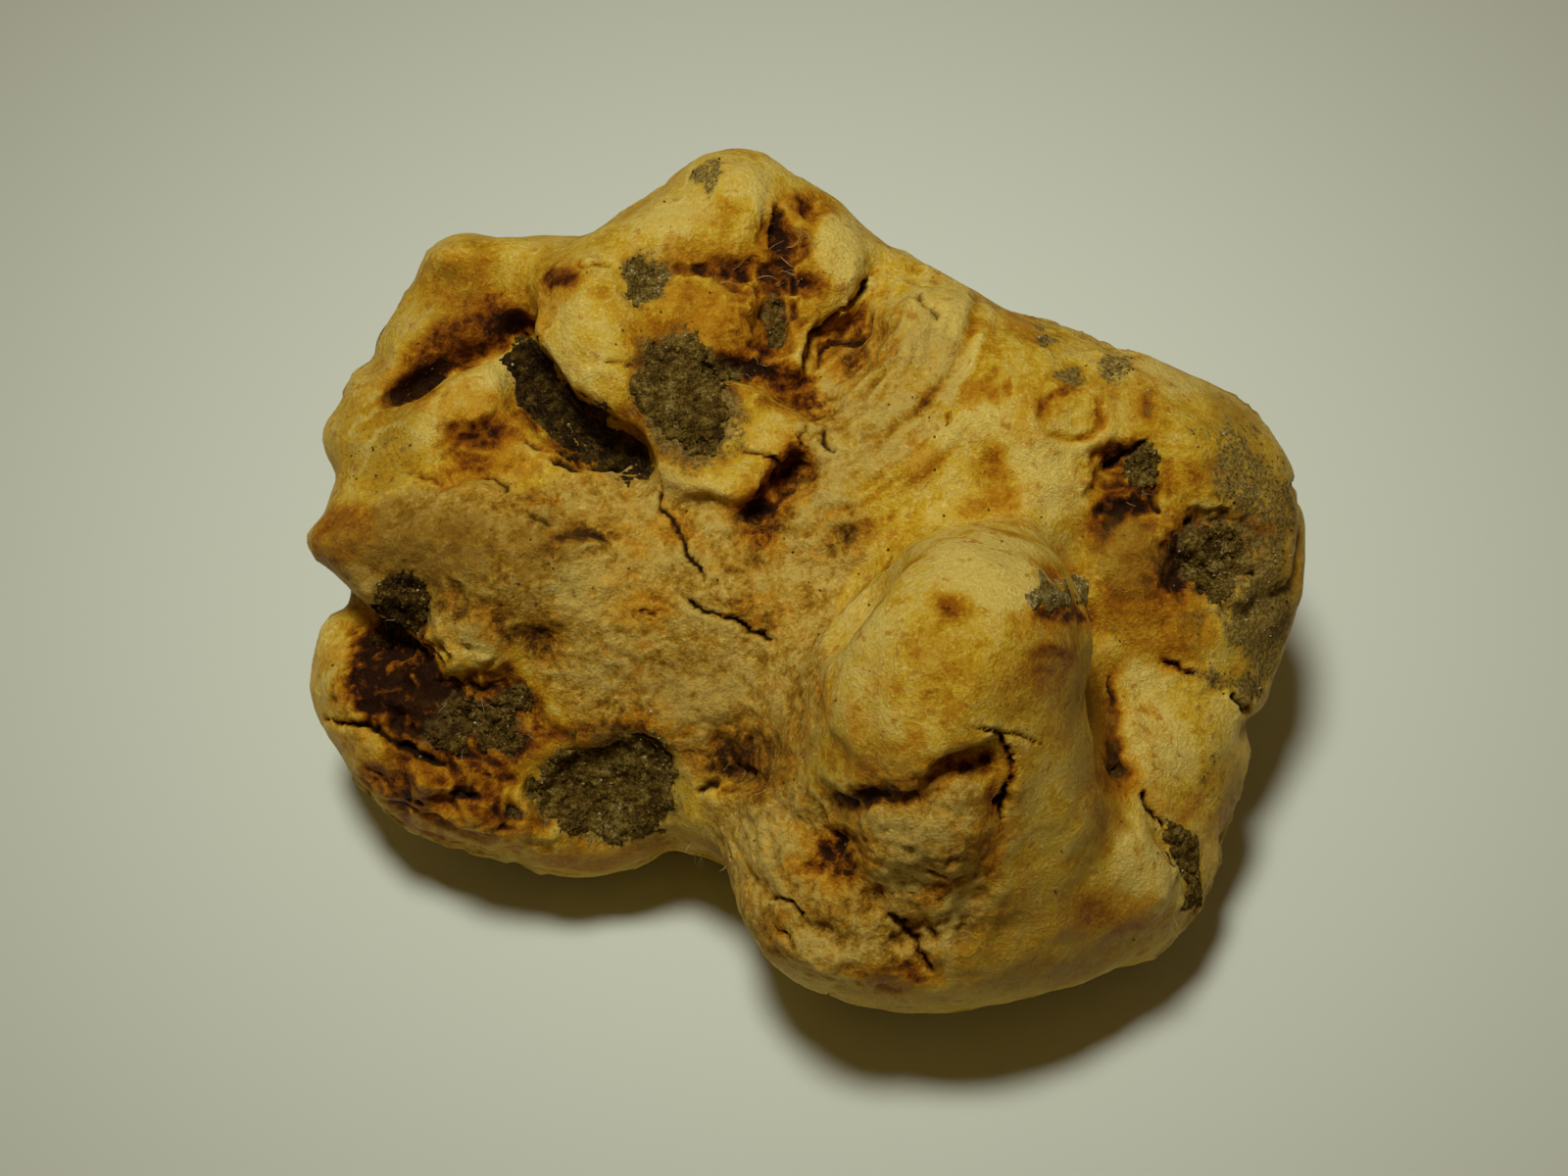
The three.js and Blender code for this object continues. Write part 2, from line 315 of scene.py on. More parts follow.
fan = (
    ledge([(0.6, 11.2), (0.9, 13), (1.4, 14.4), (2.6, 15.8), (3.9, 16.8), (4.7, 17.9),
            (5, 19.6)], 0.7, 1.6, 1.3, 0.15)
    - 1.3 * spot(3.7, 15, 1.8, 2.4, -30, 1)
    - 0.9 * spot(4.4, 13.9, 0.9, 0.7)
    + 0.6 * line([(1.8, 12.6), (2.2, 14), (3.2, 14.4), (3.9, 13.2)], 0.4)
    - 0.8 * spot(2.3, 11.8, 1.5, 1.4, 0, 1)
    - 1.1 * line([(4.9, 19.3), (6.5, 19.4), (8, 19.1), (9, 18.4)], 0.4)
    + ledge([(2.2, 2.6), (3.6, 3.6), (5, 4.4), (6.4, 4.8), (7.6, 5)], 0.5, 0.4, 0.7, 0.12)
    + 0.5 * line([(6.2, 6.4), (7.6, 7), (8.8, 6.8)], 0.6)
    - 0.5 * line([(7.4, 18.2), (6.2, 14), (3.6, 9.6), (1.2, 6.2)], 0.5)
    - 0.5 * line([(9.4, 17.4), (8.4, 13.6), (6, 9.8), (3.6, 7)], 0.4)
    - 0.4 * line([(11.2, 16), (10.2, 12.6), (8.4, 9.6)], 0.4)
)
shoulder = (
    -1.6 * spot(20.7, 6.1, 2.4, 2.5, 30, 0.9)
    + ledge([(18.6, 5.6), (19.5, 7), (20.4, 8.5), (21.6, 9), (22.8, 8.8)], 0.2, 0.9, 1.0, 0.12)
    - 1.5 * spot(25.5, 2.2, 3.1, 2.9, -20, 0.9)
    + ledge([(22.4, -0.2), (23.2, 1.4), (24, 3.4), (25.2, 4.9), (26.8, 5.1)], 0.3, 1.2, 1.0, 0.12)
    + ledge([(27, -0.2), (25.6, -0.7), (23.8, -0.5), (22.4, -1)], 0.2, 0.7, 0.7, 0.12)
    + 0.4 * spot(22.6, -2.4, 2.6, 1.3, 0, 1)
    - 0.6 * line([(22.4, -4.3), (24, -4.9), (26, -5.6), (28.4, -7.2)], 0.4)
    + 0.3 * spot(24.4, 10, 3, 2, -30, 1)
)
knob = (
    ledge([(15, 4), (11, 3.9), (8.5, 2.9), (6.5, 1.6), (4.5, -0.3), (3, -2), (2.1, -4.5), (2.3, -7),
            (3, -8.7), (4.4, -10.4)], 0.7, 1.1, 1.7)
    - 0.8 * spot(16.4, 1, 0.8, 0.45, -10)
    - 0.8 * spot(16, -1.7, 0.8, 0.4, 10)
    - 0.7 * spot(17.6, -1.6, 0.7, 0.4, 0)
    - 0.25 * spot(10, -0.8, 1, 1, 0, 1)
    + 0.3 * spot(6.5, -9.5, 2.6, 1.6, 0, 1)
    - 0.4 * line([(11, -5), (9, -7), (8, -9.4)], 0.8)
)
mouth = (
    ledge([(2.2, -11.4), (3.3, -12.1), (4.6, -12.3), (5.6, -12.2), (7, -12.4), (7.9, -11.8), (8.6, -11),
            (9.2, -10.2), (10.4, -10.1), (11.6, -9.7), (12.4, -9.2), (13.4, -8.8)], 0.5, 2.2, 1.1, 0.12)
    - 1.3 * spot(10.6, -11, 2.2, 0.8, 10)
    + 0.8 * spot(7.5, -15.2, 4.5, 1.9, 5, 1)
    + ledge([(13.4, -9), (13.5, -10.8), (13.3, -12.4), (12.8, -14)], 0.3, 1.0, 0.7, 0.12)
    - 0.6 * spot(3.3, -15.8, 1.6, 1.7, 0, 1)
    - 1.0 * spot(3.6, -15.6, 0.9, 0.9)
    - 0.6 * line([(-0.6, -13.6), (1, -14.4), (3, -13.9)], 0.5)
    + 0.7 * spot(0, -15.8, 1.8, 1.6, 0, 1)
    - 0.7 * spot(5.4, -18.6, 1.2, 0.7, 20)
    + 0.5 * spot(9.4, -18.2, 1.2, 0.9)
    - 0.8 * line([(5.8, -19.2), (7.4, -20.4), (8.2, -21.6), (8.9, -23.2)], 0.45)
    + 0.5 * line([(8.8, -19.8), (9.8, -21), (9.6, -22.8)], 0.5)
    - 0.6 * spot(2.2, -20, 1.6, 0.7, -25)
    - 0.5 * spot(-1.6, -17.4, 1, 0.7)
    + 0.5 * line([(0.4, -21), (3, -22.2), (5.6, -22.2)], 0.5)
    + 0.8 * spot(3, -19.6, 3.4, 2.4, -20, 1)
    - 0.5 * line([(1.6, -23.3), (4.4, -23.6), (7.2, -23)], 0.4)
    + ledge([(13.2, -13.6), (12.9, -16), (12.2, -19), (10.6, -21.8), (9.2, -23.2)], 0.4, 0.5, 1.2)
    - 1.6 * spot(-2.7, -11.3, 1.5, 0.9)
    - 0.7 * spot(-2.4, -9.4, 2, 2, 0, 1)
    + ledge([(-5.2, -12.6), (-4.4, -11.7), (-3.4, -11.9), (-2.2, -12.4), (-0.6, -12.2)], -0.2, -1, 1.0, 0.15)
)
flap = (
    ledge([(-27.4, 0.4), (-26, -0.3), (-25, -1.2), (-24.2, -2), (-22.8, -2.9),
            (-21, -3.6)], 0.5, 2.2, 1.5, 0.15)
    + ledge([(-15.4, 5.4), (-16.5, 6.1), (-18, 6.5), (-20, 6.1), (-22, 6.5), (-24.6, 5.8),
            (-26.4, 5)], 0.5, 0.6, 1.0)
    - 0.9 * spot(-22.2, -1.4, 2, 1.5, -25, 1)
    + 1.0 * spot(-19, -3.4, 2, 1.8, -15, 0.7)
    - 1.1 * line([(-20.2, -0.4), (-18.4, -1.4), (-17, -2.8), (-16.2, -4.2)], 0.4)
    + ledge([(-21.2, -4.6), (-20, -5.6), (-18.4, -5.6), (-16.6, -5.6), (-15, -6.4), (-13.5, -8.2),
            (-12, -9.2)], 0.3, 1.2, 1.2, 0.15)
    - 0.6 * spot(-14.6, -3.2, 1.4, 1, -30, 1)
)
left_foot = (
    -1.2 * spot(-10.6, -12, 3.9, 2.9, 5, 0.8)
    + ledge([(-14.4, -10.8), (-12.5, -9.7), (-11, -9.3), (-9.5, -9), (-8.2, -8.9), (-7.2, -9.8),
            (-6.7, -11.4)], 0.3, 1.1, 1.0, 0.15)
    + ledge([(-28, -7.9), (-26.5, -8.1), (-25, -8.3), (-23.9, -8.8), (-22.8, -9.4), (-22.2, -10),
            (-20.4, -10.6)], -0.3, -0.5, 0.9, 0.12)
    - 0.9 * spot(-24.2, -4, 2.2, 1.9, 0, 1)
    - 0.7 * spot(-23, -6, 0.6, 0.6)
    - 0.8 * spot(-18.4, -8.2, 2.6, 1.6, -20, 1)
    + 0.6 * line([(-26.2, -2), (-26.4, -4.4), (-25.8, -6.8)], 0.6)
    + 0.5 * spot(-20.6, -11.6, 1.2, 0.6, -15)
    - 0.8 * spot(-19.4, -12.4, 0.8, 0.5, -10)
    - 0.7 * spot(-16.2, -13.4, 0.6, 0.6)
    - 0.6 * line([(-24.6, -11), (-22.6, -12.8), (-20, -14), (-17.4, -14.6)], 0.4)
    + 0.5 * spot(-18.6, -14, 1.3, 0.5, -10)
)
heel = (
    1.5 * line([(-2.6, -17.6), (0, -20.6), (4, -22.6), (9, -23), (14, -22.2), (19, -20.6), (22.6, -18)], 2.2)
    + 1.0 * line([(-26.4, -7), (-23.4, -11.6), (-17, -14), (-11, -15.2), (-7.4, -14.6)], 1.5)
    - 1.4 * line([(21.3, -12), (22.4, -13.9), (23.4, -15.4), (24.1, -16.8), (24.5, -19)], 0.55)
    - 1.4 * spot(20, -10.5, 0.6, 1.1)
    - 0.8 * line([(19.5, -4.4), (19.7, -7), (20, -9.6), (20.2, -12.4), (21, -14.6)], 0.6)
    + 1.0 * line([(20.6, -14.8), (21.8, -16.8), (22.6, -19.4)], 1.3)
    + 0.6 * spot(17, -12, 2.4, 3.4, 0, 1)
)
forms = ear + cheek + lip + crown + fan + shoulder + knob + mouth + flap + left_foot + heel
lumps = 0.3 * speckle(face.solid, 6, 11) + 0.16 * speckle(face.solid, 2.6, 12)
points = lifted(points, normals, forms + lumps)

# The sides that the face doesn't show have the same kinds of folds, hollows and torn edges.
UP, BACK, RIGHT, LEFT = np.eye(3)[2], np.eye(3)[1], np.eye(3)[0], -np.eye(3)[0]
behind = Side(points, normals, UP, BACK, ragged=0.5)
rightmost = Side(points, normals, UP, RIGHT, ragged=0.5)
leftmost = Side(points, normals, UP, LEFT, ragged=0.5)
beneath = Side(points, normals, BACK, -UP, ragged=0.5)
around = (
    -1.6 * behind.line([(-22, -4), (-15, -1), (-8, -3), (-1, -2), (6, -5)], 1.1)
    - 1.3 * behind.line([(3, 12), (5, 7), (3, 1), (4, -5), (1, -10)], 0.9)
    - 1.2 * behind.spot(11, 5, 3, 2.2, 20, 0.9)
    - 1.1 * behind.spot(-13, 5, 2.4, 1.8, -15, 0.9)
    + 1.0 * behind.spot(-4, 5, 4, 3.4, 0, 1)
    + 0.8 * behind.spot(14, -4, 3.4, 2.6, 0, 1)
    - 1.0 * behind.spot(20, 1, 1.8, 1.6, 0, 0.9)
    + behind.ledge([(6, -5), (9, -7.5), (13, -8.5), (18, -7), (22, -8)], 0.4, 1.1, 1.2, 0.2)
    + behind.ledge([(-20, 8), (-15, 9.5), (-10, 8.5), (-7, 10.5)], 0.4, 0.9, 1.1, 0.2)
    - 1.1 * rightmost.line([(-9, 7), (-2, 3), (5, 4), (10, 1)], 0.8)
    - 1.0 * rightmost.spot(5, -4, 2.2, 1.8, 0, 0.9)
    + 0.7 * rightmost.spot(-4, -3, 3, 2.4, 0, 1)
    - 1.1 * leftmost.line([(-9, -3), (-3, 1), (3, 0), (9, 3)], 0.8)
    - 0.9 * leftmost.spot(5, 8, 1.8, 1.8, 0, 0.9)
    - 1.2 * beneath.line([(-22, 5), (-16, 1), (-11, 4), (-9, 9)], 1)
    - 1.2 * beneath.line([(12, 8), (16, 3), (21, 4), (25, 0)], 1)
    - 1.0 * beneath.spot(17, -6, 2.6, 2, 0, 0.9)
    - 1.0 * beneath.spot(-18, -5, 2.4, 2, 0, 0.9)
)
points = lifted(points, normals, around, 0)
place_corners(body_mesh, points)
body_mesh = smoothed(evened(body_mesh, BODY_NET), 1)

# The net is made finer where the face shows, and finer again at its cracks, and the small relief is cut
# into it: crumbled hollows, torn granular flesh, creases swept round the fan, crater rings and cracks.
CRACKS = [
    ([(-7.3, 6.3), (-7.4, 4.7), (-6.9, 4.1), (-6.4, 3.6), (-6, 2.2), (-5.4, 1.5), (-5.1, 0.9),
      (-5, 0.1)], 0.12, 1.0),
    ([(-6.3, -0.2), (-5.4, -1), (-4.2, -1.5), (-3.2, -1.9), (-2.6, -2.1), (-2, -2.8), (-1.4, -2.8),
      (-0.6, -3.3)], 0.12, 0.9),
    ([(-28.2, -7.8), (-26.5, -8.1), (-25, -8.2), (-23.9, -8.8), (-22.8, -9.3), (-22.2, -10),
      (-20, -10.6)], 0.15, 1.1),
    ([(11.4, -8.3), (12.4, -8.5), (13.2, -8.9), (13.4, -9.8), (13.6, -11), (13.5, -12), (12.8, -12.7),
      (12.8, -14.2)], 0.12, 0.8),
    ([(13.2, -8.8), (14.2, -9), (15.6, -9.3)], 0.12, 0.3),
    ([(6.2, -19.4), (7.5, -20.5), (8, -21.5), (8.9, -23.2)], 0.13, 0.6),
    ([(-1, -18.4), (0.5, -18.9), (1.5, -19.9)], 0.2, 0.6),
    ([(-0.3, -20.3), (0.3, -21), (0.6, -21.8)], 0.16, 0.5),
    ([(-14.4, 8), (-12.8, 7.4), (-11, 7.1), (-9.2, 7.2)], 0.16, 0.8),
    ([(-16, 9), (-15.2, 8.7), (-14.4, 8.5)], 0.14, 0.5),
    ([(-15.5, 4.9), (-14.8, 4.4), (-14.1, 3.6)], 0.14, 0.5),
    ([(-14, 3), (-12.8, 3.2), (-11.6, 3.1), (-10.4, 2.7)], 0.2, 0.4),
    ([(-2.7, 8.2), (-1.6, 8), (-0.6, 7.8), (-0.3, 7.2)], 0.1, 0.5),
    ([(-12.7, 19.5), (-11.6, 19.6), (-10, 19.3)], 0.12, 0.4),
    ([(-10.7, 13.7), (-9.6, 13.5), (-8.8, 13.6)], 0.12, 0.5),
    ([(2.2, 9.8), (2.4, 8.9), (2.9, 8.3), (3.4, 8.2)], 0.14, 0.6),
    ([(1.2, 10), (1, 9), (1.4, 8.2)], 0.12, 0.5),
    ([(8, 18), (8.6, 17), (9.6, 16.2)], 0.14, 0.5),
    ([(9.9, 10.6), (9.9, 10), (9.7, 9.5)], 0.1, 0.4),
    ([(1.1, 12.6), (1.4, 14.3), (2.3, 15.7), (3.5, 16.7), (4.9, 17.6), (5.2, 19.2)], 0.2, 0.7),
    ([(1.9, 12.8), (2.2, 14), (3, 14.6), (4.2, 14.6), (5.1, 15.2), (5.5, 16.6)], 0.16, 0.5),
    ([(19.4, 7.1), (20.4, 8.1), (21.8, 8.9)], 0.2, 0.6),
    ([(21.9, 5.9), (22.3, 5), (22.9, 4.5)], 0.16, 0.7),
    ([(18.8, 4.5), (19.6, 4.4), (20.4, 4.2)], 0.16, 0.5),
    ([(26.6, -6.2), (27.4, -6.9), (28.2, -7.9)], 0.18, 0.7),
    ([(22.6, -4.4), (23.6, -4.7), (24.8, -5.2)], 0.14, 0.5),
    ([(21.3, -12.2), (22.2, -13.6), (22.9, -14.6)], 0.16, 0.8),
    ([(19.4, -5.2), (19.7, -6), (19.9, -7.2)], 0.14, 0.5),
    ([(-5.1, -12.3), (-4.4, -11.7), (-3.6, -11.7)], 0.18, 0.7),
    ([(-20.2, -12.1), (-19.2, -12.4), (-18.2, -12.7)], 0.2, 0.6),
    ([(4.6, -0.2), (5.6, 0.6), (6.6, 1.8)], 0.12, 0.3),
    ([(-22.8, 6.7), (-21, 6.4), (-20, 6.1)], 0.12, 0.4),
    ([(-18.3, 6.6), (-17.2, 6.3), (-16.4, 6.1)], 0.16, 0.6),
    ([(-8.9, -1.2), (-8, -1.5), (-7.4, -1.3)], 0.1, 0.3),
    ([(-3.6, 3.2), (-2.6, 2.4), (-2.4, 1.4)], 0.1, 0.3),
]
CRUMBLED = [
    (-0.9, 17, 2.6, 4, 0.85), (-0.3, 21.4, 1.6, 2.2, 0.7), (1.6, 22.9, 1.1, 0.8, 0.3),
    (-2.4, 13, 3.4, 1.4, 0.5, -25), (-3.5, 18.9, 4, 1, 0.7, -5), (0.2, 5.8, 2.2, 2.4, 0.5, -30),
    (-22, -6, 5.6, 4.4, 0.85, -25), (-19, -12.4, 7, 2.6, 0.7, -17), (-17.5, -8, 3, 3, 0.3),
    (20.6, 6, 2.7, 2.8, 0.75, 30), (25.6, 2, 3.4, 3.4, 0.75), (27.8, 2, 2.4, 8, 0.2),
    (20.8, 1.8, 2.4, 2.6, 0.25), (24.6, -2.2, 2, 1.2, 0.3), (26, -5.8, 3, 1, 0.4, -20),
    (1.5, -16.6, 5.2, 5, 0.42), (8.2, -19.4, 4.4, 4, 0.5), (5.5, -23, 4.6, 1.4, 0.35),
    (-2.4, -10.4, 2.5, 3, 0.45), (-17.8, 9.2, 3.2, 2.2, 0.55), (-13.4, 8.2, 3.6, 1.4, 0.35, -20),
    (-22.4, -1.6, 2.8, 2, 0.35, -20), (10.8, -11.2, 2.6, 1.2, 0.35), (7.6, -14.8, 4, 1.8, 0.2),
    (-8.2, 18.4, 1.8, 1.9, 0.3), (-14.8, 17.2, 1, 2, 0.3), (-12, 12, 3.4, 1, 0.3, -40),
    (-19.4, 16, 4.4, 2, 0.2, 30), (3.2, 15, 2.2, 2.6, 0.25, -20), (6.6, 19, 2.4, 0.8, 0.25),
    (17.2, 10.4, 2.6, 2.2, 0.2), (18.6, 13.2, 3, 1.6, 0.2, -20), (-6, 11.6, 3, 4.4, 0.3, 25),
    (-10.6, -12, 4, 3, 0.25), (2.4, 3.6, 3.4, 2, 0.25, 30), (-14, 3, 3, 1.4, 0.2), (20, -10.6, 0.9, 1.6, 0.3),
    (23.8, -17, 1.3, 2.6, 0.3), (-26, 3, 2.4, 1.8, 0.15), (0, 10.4, 2.6, 1.6, 0.2, -20),
    (-8.4, -9.2, 6, 1.2, 0.25), (-4.2, 6.6, 3.4, 1, 0.2),
]


def crack_depth(face):
    """How deep the cracks cut, in millimetres."""
    return sum(face.crack(places, width, deep) for places, width, deep in CRACKS)


def torn_flesh(face):
    """Where the skin is torn off and the granular flesh shows."""
    return np.clip(
        face.spot(-17.5, 1.4, 9.5, 4.6, -5, 0.5)
        + face.spot(-9.5, 0.8, 7, 6.6, -30, 0.5)
        + face.spot(-7.5, -4.6, 8.5, 5.6, -30, 0.5)
        + face.spot(-0.5, -4.5, 3.6, 6.5, 0, 0.5)
        + face.spot(-0.2, 1.2, 5.5, 4, 30, 0.5)
        + face.spot(1.2, -17.4, 6.6, 5.2, -40, 0.6)
        + face.spot(7.6, -16.4, 5.2, 6.4, 0, 0.6)
        + 0.6 * face.spot(5.6, 11, 4, 7.6, -35, 0.8)
        - face.spot(7.5, -4, 4.8, 6.8, 0, 0.2),
        0, 1,
    )


def strongest(side, spots, wider=0):
    """The strongest of many soft spots, at each corner. A spot is its place across and up, its two radii,
    its strength and, if it is turned, its turn in degrees."""
    strength = np.zeros(len(side.up))
    for across, up, wide, high, most, *turn in spots:
        soft = side.spot(across, up, wide + wider, high + wider, *turn, edge=1)
        strength = np.maximum(strength, most * soft)
    return strength


def refined(mesh, chosen):
    """The mesh with each chosen face cut in four."""
    shape = shape_of(mesh)
    faces = [polygon for polygon in shape.faces if all(chosen[corner.index] for corner in polygon.verts)]
    edges = list({edge for polygon in faces for edge in polygon.edges})
    bmesh.ops.subdivide_edges(shape, edges=edges, cuts=1, use_grid_fill=True, smooth=0)
    bmesh.ops.triangulate(shape, faces=[polygon for polygon in shape.faces if len(polygon.verts) > 4])
    return into_mesh(shape, mesh)


def ridged(places, size, seed):
    """Like speckle, but with narrow crests between round hollows."""
    return 1 - 2.6 * np.abs(speckle(places, size, seed))


points, normals = corners_of(body_mesh)
body_mesh = refined(body_mesh, Side(points, normals).shown > 0.5)
points, normals = corners_of(body_mesh)
body_mesh = refined(body_mesh, crack_depth(Side(points, normals, ragged=0.2)) < -0.3)
points, normals = corners_of(body_mesh)
face = Side(points, normals, ragged=0.2)
torn = torn_flesh(face)
crumbled = strongest(face, CRUMBLED)
cracked = crack_depth(face)
warped = face.solid + 0.35 * np.column_stack([speckle(face.solid, 1.2, seed) for seed in (61, 62, 63)])

rings = (
    -0.4 * face.ring(17.2, 10.3, 1.9, 1.5, 0.25) * (0.6 + 0.6 * speckle(face.solid, 1.5, 71))
    + 0.25 * face.ring(17.2, 10.3, 2.4, 2, 0.3) * (0.5 + 0.7 * speckle(face.solid, 1.7, 72))
    + 0.7 * face.ring(-23, -6, 1.2, 1.1, 0.25) * (0.7 + 0.5 * speckle(face.solid, 1, 73))
    + 0.25 * face.ring(-16.2, -13.4, 0.9, 0.8, 0.22)
)
sweep = np.hypot(face.across + 1, face.up - 20)
turned = np.degrees(np.arctan2(face.up - 20, face.across + 1))
polar = np.column_stack([sweep, turned / 30, np.zeros(len(sweep))])
creases = 0.6 * ridged(polar, 0.7, 5) + 0.4 * speckle(polar, 0.3, 6)
creased = face.spot(6.4, 11.6, 5.2, 8.4, -35, 0.7)
crumbs = (
    0.42 * ridged(warped, 2.2, 41) + 0.3 * ridged(warped, 1.1, 42) + 0.2 * speckle(warped, 0.55, 43)
    + 0.1 * speckle(warped, 0.3, 44) + 0.22 * ridged(warped, 0.7, 47)
)
flaky = eased(-0.12, 0.12, speckle(warped, 1.6, 45)) + eased(-0.1, 0.1, speckle(warped, 0.8, 46))
grainy = (
    0.12 * speckle(warped, 1.1, 21) + 0.13 * speckle(warped, 0.55, 22) + 0.12 * speckle(face.solid, 0.28, 23)
    + 0.08 * flaky
)
pored = 0.06 * speckle(face.solid, 1.4, 25) + 0.04 * speckle(warped, 0.6, 26)
pored += 0.02 * speckle(face.solid, 0.3, 27)
hidden = 1 - face.shown
rough_around = eased(-0.1, 0.7, speckle(face.solid, 7, 15)) * hidden
CRACKS_AROUND = [
    (BACK, [(-3, -2.5), (2, -3.5), (7, -3), (12, -1)]), (BACK, [(-10, 2), (-8, 5), (-9, 9), (-6, 12)]),
    (BACK, [(12, 2), (15, 4), (19, 4.5)]), (RIGHT, [(2, 8), (5, 5), (6, 1), (9, -2)]),
    (LEFT, [(0, 4), (3, 6), (4, 10)]),
]
cracks_around = hidden * sum(
    Side(points, normals, UP, out).crack(places, 0.3, 0.8) for out, places in CRACKS_AROUND
)
relief = (
    cracked + cracks_around + rings + 0.3 * creased * creases + crumbled * crumbs
    + rough_around * (0.6 * crumbs + 0.5 * grainy) + torn * grainy + (1 - torn) * pored
)
pinholes = 0.07 * eased(0.6, 0.9, speckle(warped, 0.6, 28)) * eased(-0.1, 0.4, speckle(face.solid, 5, 29))
points = lifted(points, normals, relief - pinholes)
points[:, 2] = np.maximum(points[:, 2], 0)
place_corners(body_mesh, points)
points, normals = corners_of(body_mesh)
softer, _ = corners_of(smoothed(body_mesh.copy(), 8))
hollow = np.einsum("ij,ij->i", softer - points, normals) / MM

